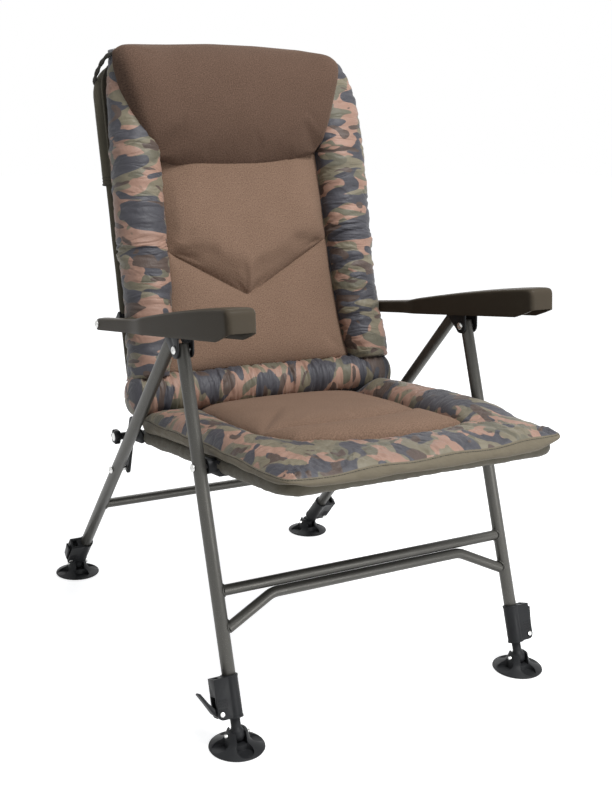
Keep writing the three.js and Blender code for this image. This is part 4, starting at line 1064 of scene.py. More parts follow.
def border(grid):
    """The points round a grid of rows x columns, starting at its first corner."""
    return np.concatenate([grid[0, :-1], grid[:-1, -1], grid[-1, :0:-1], grid[:0:-1, 0]])


def walked(line):
    """How far each point of a line is from its start, along the line."""
    steps = np.linalg.norm(np.diff(np.asarray(line, float), axis=0), axis=1)
    return np.concatenate([[0], np.cumsum(steps)])


def around(count):
    return np.linspace(0, 2 * math.pi, count, endpoint=False)


def lump_at(*place):
    return mathutils_noise.noise(Vector(place))


def ripple(points, scale, size, shift=0.0):
    """Smooth lumps of a given wavelength, the same on every run."""
    flat = points.reshape(-1, points.shape[-1])
    lumps = [mathutils_noise.noise(Vector((*(p / scale), 0)[:3])
                                   + Vector((shift, shift * 2, -shift))) for p in flat]
    return size * np.array(lumps).reshape(points.shape[:-1])


# %% Points and flat cut of a piece
def places(piece):
    flat = np.empty(len(piece.data.vertices) * 3)
    piece.data.vertices.foreach_get("co", flat)
    return flat.reshape(-1, 3)


def cut_map(piece, flat):
    """The flat cut in millimetres: one place for each corner of each face."""
    layer = piece.data.uv_layers.new(name="cut")
    layer.data.foreach_set("uv", (np.array(flat, float) * mm).ravel())


# %% Gathers: where gathered cloth is sewn down it stands in sharp valleys and rounded ridges
gather_keys = ("along", "across", "amount")


def plan_gathers(piece, *fields):
    """Stores where each point lies along and across a roll, and how deep its gathers are."""
    for name, field in zip(gather_keys, fields):
        full = np.zeros(len(piece.data.vertices))
        full[:field.size] = field.ravel()
        piece.data.attributes.new(name, "FLOAT", "POINT").data.foreach_set("value", full)


def make_gathers(piece):
    mesh = piece.data
    read = {name: np.empty(len(mesh.vertices)) for name in gather_keys}
    for name, values in read.items():
        mesh.attributes[name].data.foreach_get("value", values)
    depth = np.zeros(len(mesh.vertices))
    for i in np.nonzero(read["amount"] > 0.05)[0]:
        a, b = read["along"][i], read["across"][i]
        wander = 9 * lump_at(a / 60, b / 40, 3.3)
        big = abs(lump_at((a + wander + 0.25 * b) / 21, b / 75, 0.7))
        fine = abs(lump_at((a - wander - 0.3 * b) / 9.5, b / 34, 5.1))
        depth[i] = read["amount"][i] * (min(big, 0.34) * 3.6 + min(fine, 0.3) * 1.3 - 0.75)
    normals = np.empty(len(mesh.vertices) * 3)
    mesh.vertices.foreach_get("normal", normals)
    points = places(piece) + normals.reshape(-1, 3) * depth[:, None] * mm
    mesh.vertices.foreach_set("co", points.ravel())
    for name in gather_keys:
        mesh.attributes.remove(mesh.attributes[name])
    mesh.update()


# %% A sewn piece: a grid front, a rim of rings, and a closed back
def sewn(name, front, cut, cloth, materials, rings, ring_cloth, centre):
    """front and cut are rows x columns of places (mm) and of flat places; cloth picks a material
    for each cell; rings are further loops of places round the border, towards the back."""
    rows, columns = front.shape[:2]
    points = [tuple(p) for p in front.reshape(-1, 3)]
    flat = [tuple(p) for p in cut.reshape(-1, 2)]
    faces = ring_faces(rows, columns, closed=False)
    kinds = [int(kind) for kind in cloth.ravel()]
    corners = [flat[i] for face in faces for i in face]
    loop = [int(i) for i in border(np.arange(rows * columns).reshape(rows, columns))]
    lap = walked([points[i] for i in loop + loop[:1]])
    deep = 0.0
    for ring in rings:
        fresh = list(range(len(points), len(points) + len(ring)))
        step = float(np.mean(np.linalg.norm(ring - np.array([points[i] for i in loop]), axis=1)))
        points += [tuple(p) for p in ring]
        for k in range(len(ring)):
            n = (k + 1) % len(ring)
            faces.append((loop[n], loop[k], fresh[k], fresh[n]))
            corners += [(lap[k + 1], deep), (lap[k], deep), (lap[k], deep + step),
                        (lap[k + 1], deep + step)]
        loop, deep = fresh, deep + step
    middle = len(points)
    points.append(centre)
    for k in range(len(loop)):
        faces.append((loop[(k + 1) % len(loop)], loop[k], middle))
        corners += [(points[i][0], points[i][1] + points[i][2]) for i in faces[-1]]
    mesh = bpy.data.meshes.new(name)
    mesh.from_pydata([[c * mm for c in p] for p in points], [], faces)
    for material in materials:
        mesh.materials.append(material)
    mesh.polygons.foreach_set("material_index", kinds + [ring_cloth] * (len(faces) - len(kinds)))
    piece = linked(name, mesh)
    cut_map(piece, corners)
    shade(piece, 180)
    return outwards(piece)


def crease(piece, seam_points):
    """Keeps the seams sharp when the piece is subdivided."""
    mesh = piece.data
    full = held_points(piece, seam_points, False)
    pairs = np.empty(len(mesh.edges) * 2, int)
    mesh.edges.foreach_get("vertices", pairs)
    both = full[pairs.reshape(-1, 2)].all(axis=1)
    mesh.attributes.new("crease_edge", "FLOAT", "EDGE").data.foreach_set("value", both * 0.9)


def outwards(piece):
    with edited(piece) as mesh:
        if mesh.calc_volume(signed=True) < 0:
            bmesh.ops.reverse_faces(mesh, faces=mesh.faces)
    return piece


# %% [markdown]
# The solver holds the sewn points, takes its rest lengths from a shape key with the flat cut's
# extra length, and gets pressure from inside and no gravity. After twenty frames each point's move
# is capped, written into the mesh, and the modifier is removed.

# %% Cloth solver
def held_points(piece, on_grid, others=True):
    """A mask of the piece's points: on_grid says it for the front grid, others for the rest."""
    held = np.full(len(piece.data.vertices), others)
    held[:on_grid.size] = on_grid.ravel()
    return held


def puff(piece, held, rest, cap, pressure, stretch, bend, steps=20):
    """Blows the piece up in steps frames, and returns the longest move before the cap."""
    start = places(piece)
    piece.shape_key_add(name="Basis")
    key = piece.shape_key_add(name="rest")
    key.data.foreach_set("co", rest.ravel())
    key.value = 0.0
    group = piece.vertex_groups.new(name="sewn")
    group.add([int(i) for i in np.nonzero(held)[0]], 1.0, "REPLACE")
    solver = piece.modifiers.new("puff", "CLOTH")
    rules = solver.settings
    rules.vertex_group_mass = "sewn"
    rules.rest_shape_key = key
    rules.effector_weights.gravity = 0.0
    for name, value in {
            "pin_stiffness": 1.0, "quality": 6, "mass": 0.25, "tension_stiffness": stretch,
            "compression_stiffness": stretch, "shear_stiffness": stretch * 0.4,
            "bending_stiffness": bend, "use_pressure": True, "uniform_pressure_force": pressure,
            "air_damping": 2.0}.items():
        setattr(rules, name, value)
    solver.collision_settings.use_collision = False
    solver.collision_settings.use_self_collision = False
    solver.point_cache.frame_start, solver.point_cache.frame_end = 1, steps
    scene = bpy.context.scene
    for step in range(1, steps + 1):
        scene.frame_set(step)
    grown = piece.evaluated_get(bpy.context.evaluated_depsgraph_get()).data
    flat = np.empty(len(grown.vertices) * 3)
    grown.vertices.foreach_get("co", flat)
    move = flat.reshape(-1, 3) - start
    length = np.linalg.norm(move, axis=1)
    room = cap * np.tanh(length / cap) / np.maximum(length, 1e-9)
    piece.modifiers.remove(solver)
    piece.shape_key_clear()
    piece.vertex_groups.remove(group)
    piece.data.vertices.foreach_set("co", (start + move * room[:, None]).ravel())
    piece.data.update()
    scene.frame_set(1)
    return float(length.max())


# %% Last steps for a sewn piece
def squash(piece):
    """Gives the piece a mesh of its own."""
    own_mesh(piece)


def dress(piece, where, body, slot_name, node):
    """Subdivides, makes any gathers, sets the piece in place, attaches it to its body and hides its
    CAD node; slot_name is not used.
    """
    finer = piece.modifiers.new("finer", "SUBSURF")
    finer.levels = finer.render_levels = 1
    finer.use_limit_surface = False
    flatten(piece)
    if "amount" in piece.data.attributes:
        make_gathers(piece)
    shade(piece, 180)
    piece.data.transform(where)
    settle(piece, body, slot_name, node)
    squash(piece)
    print(piece.name, len(piece.data.polygons), "faces")


# %% [markdown]
# The seat pad. Its cover is one brown fleece panel with a curved cross seam, framed on both sides
# and in front by a roll of camouflage cloth, and a strip of olive nylon runs round its edge. The
# heights below were read from the picture in the seat's own frame: the edge seam is low at the
# front corners and high at the rear, the panel seams are deep, and the rolls stand over both.

# %% Seat pad: the plan of its seams
seat_half, seat_front, seat_rear, pad_foot = 259, -242, 322, 13.4
panel_u, front_v = 0.6, -0.5
corner_power = 26


def seat_side_seam(side, y):
    left = np.interp(y, [-130, -60, 0, 115, 277], [150, 168, 179, 174, 152])
    right = np.interp(y, [-130, 0, 92, 277], [146, 160, 174, 184])
    return np.where(side < 0, left, right)


def seat_front_seam(x):
    return np.interp(x, [-172, -140, -106, -43, 0, 44, 100, 150],
                     [-72, -88, -107, -127, -136, -141, -137, -124])


def seat_cross_seam(x):
    return np.interp(x, [-178, -160, -95, -50, 0, 60, 110, 165],
                     [2, -8, -26, -31, -32, -23, -3, 34])


seat_us = lines_between((-1, 19), (-panel_u, 70), (panel_u, 19), (1, 0))
seat_vs = lines_between((-1, 23), (front_v, 20), (0, 44), (1, 0))
U, V = np.meshgrid(seat_us, seat_vs)
m = np.maximum(np.abs(U), np.abs(V))
rounding = (np.abs(U) ** corner_power + np.abs(V) ** corner_power) ** (1 / corner_power)
squeeze = 1 + (m / np.maximum(rounding, 1e-9) - 1) * ease(0.6, 1, m)
side = seat_side_seam(U, np.interp(V, [-1, 1], [seat_front, seat_rear]))
X = np.where(np.abs(U) < panel_u, U / panel_u * side,
             np.sign(U) * (side + (np.abs(U) - panel_u) / (1 - panel_u) * (seat_half - side)))
calm = ease(170, 259, np.abs(X))
front_seam = seat_front_seam(X) * (1 - calm) - 110 * calm
cross_seam = seat_cross_seam(X) * (1 - calm) + 20 * calm
Y = np.where(V < front_v, seat_front + (V + 1) / 0.5 * (front_seam - seat_front),
             np.where(V < 0, front_seam + (V + 0.5) / 0.5 * (cross_seam - front_seam),
                      cross_seam + V * (seat_rear - cross_seam)))
X, Y = X * squeeze, Y * squeeze
seat_plan = np.stack([X, Y], axis=-1)

# %% Seat pad: heights over the plan
row_front, row_cross = index_of(seat_vs, front_v), index_of(seat_vs, 0)
col_right, col_left = index_of(seat_us, -panel_u), index_of(seat_us, panel_u)
panel_line = np.concatenate([seat_plan[:row_front - 1:-1, col_right],
                             seat_plan[row_front, col_right:col_left],
                             seat_plan[row_front:, col_left]])
edge_line = np.concatenate([seat_plan[0], seat_plan[1:, -1], seat_plan[-1, -2::-1],
                            seat_plan[-2::-1, 0]])
to_panel, to_edge = near(seat_plan, panel_line), near(seat_plan, edge_line)
to_cross = near(seat_plan, seat_plan[row_cross, col_right:col_left + 1])
to_mitre = np.minimum(*(near(seat_plan, [seat_plan[row_front, col], seat_plan[0, edge]])
                        for col, edge in ((col_right, 0), (col_left, -1))))
to_seam = np.minimum(to_edge, to_panel)
on_panel = (np.abs(U) <= panel_u) & (V >= front_v)
edge_knots = [-242, -150, 0, 270, 322]
edge_height = np.where(X < 0, np.interp(Y, edge_knots, [15, 21, 31, 37, 37]),
                       np.interp(Y, edge_knots, [27, 29, 33, 37, 37]))
front_height = np.interp(X, [-259, -120, 0, 120, 259], [15, 19, 20, 21, 27])
edge_height = edge_height + (front_height - edge_height) * ease(-150, -235, Y)
edge_height = (edge_height + 1.8 * np.sin(X / 23.0) * ease(-120, -235, Y)
               + 1.2 * np.sin(Y / 19.0) * ease(200, 250, np.abs(X)))
seam_height, cross_height = np.interp(Y, [-130, 0, 277], [30, 29, 31]), 38.0
share = to_edge / np.maximum(to_edge + to_panel, 1e-6)
ground = np.where(on_panel, seam_height, edge_height + (seam_height - edge_height) * share)
swell = (np.interp(Y, [-242, -140, -95, 0, 240, 322], [8, 10, 17, 20, 24, 6])
         + 17 * ease(-20, 60, X) * ease(-200, -40, Y) * ease(310, 240, Y))
roll = swell * dome(to_seam, 40) * (1 - 0.34 * (1 - ease(0, 26, to_mitre)) * ease(0, 40, to_panel))
panel_top = (np.interp(Y, [-130, -60, 40, 240, 322], [47, 50, 52, 53, 44])
             + 5 * (1 - (X / 180) ** 2))
panel = (panel_top - ground) * dome(to_panel, 34)
panel = panel - (panel_top - cross_height) * (1 - dome(to_cross, 26)) * ease(0, 30, to_panel)
seat_top = np.stack([X, Y, ground + np.where(on_panel, panel, roll)], axis=-1)
wave = ripple(seat_plan, 30, 1.4, 3.0) * dome(to_seam, 30)
seat_top[..., 2] += np.where(on_panel, 0.25 * wave, wave)

# %% Seat pad: rim of olive cloth and the underside
rim = border(seat_top)
away = signed_power(rim[:, :2] / [259, 250], 12)
away /= np.maximum(np.linalg.norm(away, axis=1, keepdims=True), 1e-6)
low_edge = (np.interp(rim[:, 1], [-242, -200, 0, 277], [-1, 5, 14, 17])
            + ripple(rim[:, :2], 45, 2.4, 9.0))
tip = np.maximum(*(np.exp(-((rim[:, 0] - x) ** 2 + (rim[:, 1] + 236) ** 2) / width ** 2)
                   for x, width in ((250, 34), (-250, 26))))
low_edge = low_edge + (rim[:, 2] - low_edge) * 0.55 * tip
seat_rings = []
for share, bulge in ((0.12, 1.5), (0.35, 4.0), (0.6, 4.8), (0.85, 3.0), (1.0, 0.0)):
    z = rim[:, 2] + (low_edge - rim[:, 2]) * share
    pucker = ripple(np.column_stack([rim[:, :2], z * 2.2]), 17, 2.2, 5.0)
    out = bulge + pucker * math.sin(math.pi * share)
    seat_rings.append(np.column_stack([rim[:, :2] + away * out[:, None], z]))
under = np.full(len(rim), pad_foot)
seat_rings += [np.column_stack([rim[:, :2] - away * 6, np.minimum(low_edge, 12)]),
               np.column_stack([rim[:, :2] - away * 26, under]),
               np.column_stack([rim[:, :2] * 0.55, under])]

# %% Seat pad: mesh, cloth and stuffing
cells = on_panel[:-1, :-1] & on_panel[1:, 1:]
seat_pad = sewn("seat_pad", seat_top, seat_top[..., :2] * [1, 1.04], np.where(cells, 0, 1),
                [panel_fleece, seat_camouflage, boxing_nylon], seat_rings, 2, (0, 15, pad_foot))
on_line = (to_seam < 0.5) | ((to_cross < 0.5) & on_panel)
longer = places(seat_pad)
stretch_x = ease(-60, -160, longer[:, 1] / mm)
longer[:, 0] *= 1 + 0.13 * stretch_x
longer[:, 1] *= 1 + 0.12 * (1 - stretch_x)
grew = puff(seat_pad, held_points(seat_pad, on_line | on_panel), longer, 0.013, 5, 16, 0.25)
grew_panel = puff(seat_pad, held_points(seat_pad, on_line | ~on_panel),
                  places(seat_pad) * [1.01, 1.01, 1], 0.007, 3, 16, 0.8)
print("seat pad grew by", round(grew / mm, 1), "and its panel by", round(grew_panel / mm, 1), "mm")
in_front = ease(20, -20, (Y - seat_front) - (seat_half - np.abs(X)))
along = X * in_front + (Y + 40) * np.sign(X) * (1 - in_front)
across = np.where(in_front > 0.5, Y, np.abs(X)) - 100
amount = (1.1 + 1.5 * in_front + 1.6 * bell(to_mitre, 34)) * ease(0, 6, to_edge)
amount *= ease(0, 5, to_panel)
amount *= 0.45 + 0.55 * bell(to_seam, 26)
plan_gathers(seat_pad, along, across, np.where(on_panel, 0, amount))
crease(seat_pad, on_line)
dress(seat_pad, seat_at, "seat", "camouflage_fabric", "seat_cushion")

# %% [markdown]
# The back cushion has the same build: a brown fleece panel with a seam in the shape of a wide V,
# and a tall camouflage roll on each side. The rolls bulge past their outer seam, so their cross
# section is most of an oval, and the grid follows that oval from the outer seam to the panel.

# %% Back cushion: plan of the panel, its V seam and the rolls
back_low, back_high, back_y = 76, 690, -13.4
back_u, chevron_v, oval_power = 0.55, 0.375, 0.86
back_us = lines_between((-1, 24), (-back_u, 56), (back_u, 24), (1, 0))
back_vs = lines_between((0, 30), (0.335, 14), (chevron_v, 18), (0.42, 54), (1, 0))


def back_chevron(x):
    """The height of the V seam: a rounded point near the middle, 95 mm higher at its ends."""
    return 222 + 98 * (np.sqrt(((x + 13) / 172) ** 2 + 0.0008) - math.sqrt(0.0008))


U, V = np.meshgrid(back_us, back_vs)
z_line = back_low + V * (back_high - back_low)
sign = np.where(U < 0, -1.0, 1.0)
panel_edge = np.interp(z_line, [80, 120, 169, 232, 310, 400, 505, 690],
                       [203, 194, 187, 181, 178, 176, 173, 170])
bulge_out = np.where(
    U < 0, np.interp(z_line, [81, 150, 226, 330, 500, 600, 645, 690],
                     [274, 267, 262, 266, 260, 256, 250, 238]),
    np.interp(z_line, [81, 138, 203, 354, 513, 592, 631, 690],
              [284, 279, 272, 276, 281, 279, 268, 240]))
chevron = back_chevron(np.clip(U / back_u * panel_edge, -178, 178))
z_warp = np.where(V < chevron_v, back_low + V / chevron_v * (chevron - back_low),
                  chevron + (V - chevron_v) / (1 - chevron_v) * (back_high - chevron))
turn = np.clip((1 - np.abs(U)) / 0.45, 0, 1)
angle = np.radians(-62 + 242 * turn)
half_wide = (bulge_out - panel_edge) / 2 + 2
x_roll = bulge_out - half_wide + half_wide * signed_power(np.cos(angle), oval_power)
deep = 44 - 15 * ease(470, 610, z_line)
y_roll = -(50 + deep * signed_power(np.sin(angle), oval_power))
on_back = np.abs(U) <= back_u
x_flat = np.sign(U) * (np.abs(U) / back_u * panel_edge)
X = np.where(on_back, x_flat, sign * x_roll)

# %% Back cushion: depth of the panel and the rolls
flat_plan = np.stack([x_flat, z_warp], -1)
col_right, col_left = index_of(back_us, -back_u), index_of(back_us, back_u)
to_sides = np.minimum(near(flat_plan, flat_plan[:, col_right]),
                      near(flat_plan, flat_plan[:, col_left]))
to_chevron = near(flat_plan, flat_plan[index_of(back_vs, chevron_v), col_right:col_left + 1])
foot_draw, head_draw = dome(z_warp - back_low, 30), dome(back_high - z_warp, 40)
above = z_warp > chevron + 0.01
inside = ease(0, 30, to_sides)
front = 44 + 17 * dome(to_sides, 60)
front = front - (np.where(above, 17, 13) * (1 - dome(to_chevron, np.where(above, 44, 95)))
                 * inside)
front = front + np.where(above, 12 * ease(190, 30, to_chevron) * dome(to_chevron, 24), 0) * inside
front = 42 + (front - 42) * foot_draw
Y = np.where(on_back, -front,
             -20 + (y_roll + 20) * (0.45 + 0.55 * head_draw) * (0.9 + 0.1 * foot_draw))
Y = Y - (ripple(np.stack([X, z_warp, Y], -1), 34, 2.0, 1.0)
         * np.where(on_back, 0.25, np.sin(np.pi * turn)))
back_front = np.stack([X, Y, z_warp], -1)

# %% Back cushion: mesh, cloth and stuffing
cells = on_back[:-1, :-1] & on_back[:-1, 1:]
rim = border(back_front)


def back_ring(share_x, y, share_z):
    return np.column_stack([rim[:, 0] * share_x, np.full(len(rim), y),
                            390 + (rim[:, 2] - 390) * share_z])


across = walked(back_front[len(back_front) // 2])
back_cut = np.stack(np.broadcast_arrays(across[None, :] - across[-1] / 2, z_warp), -1)
back_pad = sewn("back_pad", back_front, back_cut, np.where(cells, 0, 1),
                [panel_fleece, roll_camouflage, olive_nylon],
                [back_ring(0.985, -15.5, 0.99), back_ring(0.9, back_y, 0.93)], 2, (0, back_y, 390))
ends = (V < 0.001) | (V > 0.999)
seams = (to_sides < 0.6) | (to_chevron < 0.6)
grew = puff(back_pad, held_points(back_pad, on_back | (turn < 0.01) | (turn > 0.99) | ends),
            places(back_pad) * [1, 1, 1.13], 0.011, 4, 14, 0.25)
grew_panel = puff(back_pad, held_points(back_pad, seams | ends | ~on_back),
                  places(back_pad) * [1.01, 1, 1.01], 0.007, 3, 16, 0.8)
print("back rolls grew by", round(grew / mm, 1),
      "and the panel by", round(grew_panel / mm, 1), "mm")
folds = np.zeros(z_warp.shape)
for way, height, strength in ((-1, 318, 3.6), (-1, 432, 1.2), (-1, 505, 1.8), (-1, 236, 1.2),
                              (-1, 150, 1.8), (-1, 110, 1.5), (1, 508, 3.0), (1, 450, 1.5),
                              (1, 392, 1.5), (1, 326, 3.4), (1, 268, 2.0), (1, 214, 1.6),
                              (1, 168, 3.0), (1, 118, 2.2)):
    folds += np.where(sign == way, strength, 0) * bell(z_warp - height - 9 * (turn - 0.5), 17)
amount = (1.0 + 0.5 * (sign > 0) + folds) * ease(0, 0.1, turn) * ease(1, 0.94, turn)
plan_gathers(back_pad, z_warp + 900 * sign, turn * 110, np.where(on_back, 0, amount))
crease(back_pad, seams & on_back)
dress(back_pad, back_at, "back", "camouflage_fabric", "back_cushion")

# %% [markdown]
# The lumbar roll is a bolster sewn across the foot of the back. Its cloth is a good deal longer
# than the bolster, so it is full of pleats that run round it and lean a little to one side.

# %% Lumbar roll
roll_half, roll_radius, roll_lean, roll_y, roll_z = 282, 36, 5, -52.9, 47
us, angles = np.linspace(-1, 1, 157)[:, None], around(44)[None, :]
rows, count = us.shape[0], angles.shape[1]
size = roll_radius * (1 + 0.13 * np.abs(us) ** 5) * np.maximum(0.02, 1 - np.abs(us) ** 44) ** 0.5
phase = np.array([math.sin(i * 0.83) + 0.7 * math.sin(i * 1.31 + 1) for i in range(rows)])
pleat = 1 + 0.022 * phase[:, None] * (0.6 + 0.4 * np.cos(angles * 2))
lumbar = np.stack([us * roll_half + roll_lean * np.sin(angles) * (1 - np.abs(us) ** 6),
                   size * np.cos(angles) * pleat * 0.98 + roll_y,
                   size * np.sin(angles) * pleat + roll_z], -1)
points, faces = [tuple(p * mm) for p in lumbar.reshape(-1, 3)], ring_faces(rows, count)
uvs = [(a * 5.2 + 0.5 * lumbar[b, k, 0], 0.8 * lumbar[b, k, 0])
       for i in range(rows - 1) for k in range(count)
       for b, a in ((i, k), (i, k + 1), (i + 1, k + 1), (i + 1, k))]
for i, way in ((0, 1), (rows - 1, -1)):
    points.append((lumbar[i, 0, 0] * mm + way * -0.001, -0.0529, 0.053))
    for k in range(count):
        faces.append((i * count + (k + 1) % count, i * count + k, len(points) - 1)[::way])
        uvs += [(k * 5.2, 0), ((k + 1) * 5.2, 0), (k * 5.2, 40)]
lumbar_roll = outwards(new_piece("lumbar_cushion", points, faces, roll_camouflage))
cut_map(lumbar_roll, uvs)
degrees = np.arange(count) / count * 360
held = np.tile((np.abs((degrees - 100 + 180) % 360 - 180) < 5)
               | (np.abs((degrees - 290 + 180) % 360 - 180) < 5), (rows, 1))
held[:2] = held[-2:] = True
plan_gathers(lumbar_roll, lumbar[..., 0] * 1.5 + 500,
             np.broadcast_to(degrees, (rows, count)) * 0.24,
             np.full((rows, count), 3.0) * ease(1, 0.97, np.abs(us)))
grew = puff(lumbar_roll, held_points(lumbar_roll, held), places(lumbar_roll) * [1.2, 1, 1],
            0.009, 4, 12, 0.2)
print("lumbar roll grew by", round(grew / mm, 1), "mm")
dress(lumbar_roll, back_at, "back", "camouflage_fabric", "lumbar_roll")

# %% [markdown]
# The head pillow hangs over the top of the back. It is one thick fleece cushion, wide above and
# drawn in below, with a crisp rolled lower edge, so its crown falls steeply near the seam.

# %% Head pillow
pillow_us, pillow_vs, pillow_z = np.linspace(0, 1, 73), np.linspace(0, 1, 43), 580


def smooth_line(knots, shares):
    """Points along a smooth curve through the knots, spread by length."""
    def spread(line, where):
        run = walked(line)
        return np.stack([np.interp(np.asarray(where) * run[-1], run, line[:, i])
                         for i in range(2)], -1)

    line = spread(np.array(knots, float), np.linspace(0, 1, 400))
    for _ in range(60):
        line[1:-1] = (line[:-2] + 2 * line[1:-1] + line[2:]) / 4
    return spread(line, shares)


foot = smooth_line([(-182, 482), (-139, 469), (-92, 465), (-28, 464), (38, 466), (99, 474),
                    (160, 494)], pillow_us)
head = smooth_line([(-246, 674), (-232, 686), (-148, 696), (-45, 703), (54, 704), (148, 701),
                    (206, 690), (232, 670)], pillow_us)
right = smooth_line([(-182, 482), (-206, 508), (-224, 546), (-240, 601), (-248, 650),
                     (-246, 674)], pillow_vs)
left = smooth_line([(160, 494), (180, 516), (192, 546), (209, 600), (225, 645), (232, 670)],
                   pillow_vs)
u, v = pillow_us[None, :, None], pillow_vs[:, None, None]
corners = ((1 - v) * ((1 - u) * foot[0] + u * foot[-1]) + v * ((1 - u) * head[0] + u * head[-1]))
pillow_plan = ((1 - v) * foot[None] + v * head[None] + (1 - u) * right[:, None]
               + u * left[:, None] - corners)
X, Z = pillow_plan[..., 0], pillow_plan[..., 1]
rim_line = np.concatenate([foot, left[1:], head[-2::-1], right[-2:0:-1], foot[:1]])
to_rim = near(pillow_plan, rim_line)
to_ends = np.minimum(near(pillow_plan, right), near(pillow_plan, left))
tall = np.where(v < 0.6, 1 - np.abs((0.6 - v) / 0.6) ** 2.1,
                1 - np.abs((v - 0.6) / 0.4) ** 2.4)[..., 0] ** 0.55
crown = 45 * tall * (0.35 + 0.65 * dome(to_ends, 60)) * dome(to_ends, 16)
pillow_front = np.stack([X, -(60 + 16 * ease(130, 230, np.abs(X)) + crown), Z], -1)
rim = border(pillow_front)


def pillow_ring(share, y):
    return np.column_stack([rim[:, 0] * share, rim[:, 1] + y,
                            pillow_z + (rim[:, 2] - pillow_z) * share])


pillow = sewn("pillow", pillow_front, pillow_front[..., [0, 2]], np.zeros((42, 72), int),
              [pillow_fleece], [rim + [0, 8, 0], pillow_ring(0.97, 13), pillow_ring(0.6, 14)], 0,
              (0, -50, pillow_z))
grew = puff(pillow, held_points(pillow, to_rim < 0.5), places(pillow) * [1.03, 1, 1.02],
            0.009, 3, 16, 0.8)
print("pillow grew by", round(grew / mm, 1), "mm")
dress(pillow, back_at, "back", "brown_fabric", "head_pillow")

# %% [markdown]
# Behind the cushion the back frame wears an olive nylon sleeve, and a hood of the same cloth is
# pulled over its upper half and piped along its edges. Both are pockets, open below. Each is a
# stack of flattened loops, narrower over the rounded top corners, that closes on a line. Solidify
# then gives the cloth a thickness, and noise gives it small folds.

# %% Sleeve and hood of the back
def flat_oval(half, deep, count):
    """A loop with long flat sides along X."""
    angles = around(count)
    return np.stack([half * signed_power(np.cos(angles), 2 / 7),
                     deep * signed_power(np.sin(angles), 2 / 2.6)], -1)


def pocket(name, levels, middle_y, folds, count=120):
    rings = np.array([np.column_stack([flat_oval(half, deep, count) + [0, middle_y],
                                       np.full(count, z)]) for z, half, deep in levels])
    lumps = (ripple(rings * [1, 2.5, 0.8], 48, folds, 2.0)
             + ripple(rings * [0.5, 2.5, 1.6], 22, folds * 0.5, 8.0))
    rings[..., 1] += np.sign(rings[..., 1]) * lumps
    lap = walked(np.concatenate([rings[0], rings[0][:1]]))
    heights = rings[:, 0, 2]
    flat = [place for low, high in zip(heights, heights[1:]) for k in range(count)
            for place in ((lap[k], low), (lap[k + 1], low), (lap[k + 1], high), (lap[k], high))]
    piece = new_piece(name, rings.reshape(-1, 3) * mm, ring_faces(len(rings), count), olive_nylon)
    cut_map(piece, flat)
    with edited(piece) as mesh:
        bmesh.ops.remove_doubles(mesh, verts=mesh.verts, dist=0.0004)
        face_outwards(mesh, 1)
    thickened(piece, 1.2)
    shade(flatten(piece), 60)
    return piece


def back_levels(low, high, half, deep, corner, steps):
    """Heights, half widths and depths of the loops, up to a closed line with round corners."""
    levels = [(z, half, deep) for z in np.linspace(low, high - corner, steps)]
    for angle in np.linspace(0, math.pi / 2, 12)[1:]:
        z = high - corner + corner * math.sin(angle)
        pull = min(1.0, (high - z) / (deep * 1.2))
        levels.append((z, half - corner + corner * math.cos(angle),
                       max(0.15, deep * math.sqrt(1 - (1 - pull) ** 2))))
    return levels


sleeve = pocket("back_sleeve", back_levels(93, 668, 259, 12, 62, 30), 0, 1.2)
hood = pocket("back_hood", back_levels(446, 676, 265, 15.5, 66, 14), -2, 1.5)
for piece, tall, nodes in ((sleeve, 0.575, ["back_sling"]), (hood, 0.23, [])):
    piece.data.transform(back_at)
    settle(piece, "back", "olive_fabric", *nodes)
    squash(piece)


# %% Piping round the back and the hood's hem
def edge_route(half, low, high, corner, y):
    path = [(-half, y, z) for z in np.linspace(low, high - corner, 24)]
    path += [(-half + corner - corner * math.cos(a), y, high - corner + corner * math.sin(a))
             for a in np.linspace(0, math.pi / 2, 12)[1:]]
    path += [(x, y, high) for x in np.linspace(-half + corner, half - corner, 20)[1:-1]]
    return path + [(-x, y, z) for x, y, z in path[:35]][::-1]


piping = new_piece("back_piping", *scaled(sweep(edge_route(253, 96, 682, 62, -19), 2.4, 8)),
                   olive_nylon, back_at, 60)
cut_map(piping, [((v // 8) * 6, (v % 8) * 2) for face in piping.data.polygons
                 for v in face.vertices])
hem_line = [(x, y - 2, 446) for x, y in flat_oval(265, 15.8, 120)]
hem = new_piece("hood_hem", *scaled(sweep(hem_line, 1.6, 8, closed=True)), olive_nylon, back_at, 60)
hem.data.uv_layers.new(name="cut")
for piece in (piping, hem):
    settle(piece, "back", "olive_fabric")

# %% [markdown]
# The seat hangs in a sling: a sheet of olive nylon stretched from rail to rail, whose edges are
# sewn into a sleeve round the tube. The sleeve is swept round the frame a little loose, with
# folds across it, and the sheet sags a few millimetres between the rails.

# %% Sleeve round the seat tube
sleeve_count = 28
loop = route([(rail_x, 300, 0), (rail_x, rail_front, 0), (-rail_x, rail_front, 0),
              (-rail_x, 300, 0)], 28, 12)
fine = [loop[0]]
for a, b in zip(loop, loop[1:]):
    steps = max(1, int((b - a).length / 5))
    fine += [a + (b - a) * k / steps for k in range(1, steps + 1)]
points, faces = sweep(fine, 13, sleeve_count, bore=11.4)
radial = np.array([tuple(p) for p in points]).reshape(len(fine), 2, sleeve_count, 3)
outward = radial - np.array([tuple(p) for p in fine])[:, None, None, :]
outward /= np.linalg.norm(outward, axis=-1, keepdims=True)
folds = ripple(radial * [1, 1, 2], 14, 1.1, 4.0) + ripple(radial, 40, 1.0, 6.0)
radial += outward * np.minimum(folds, 1.4)[..., None]
seat_sleeve = new_piece("seat_sleeve", *scaled(([tuple(p) for p in radial.reshape(-1, 3)], faces)),
                        olive_nylon, None, 60)
flat = []
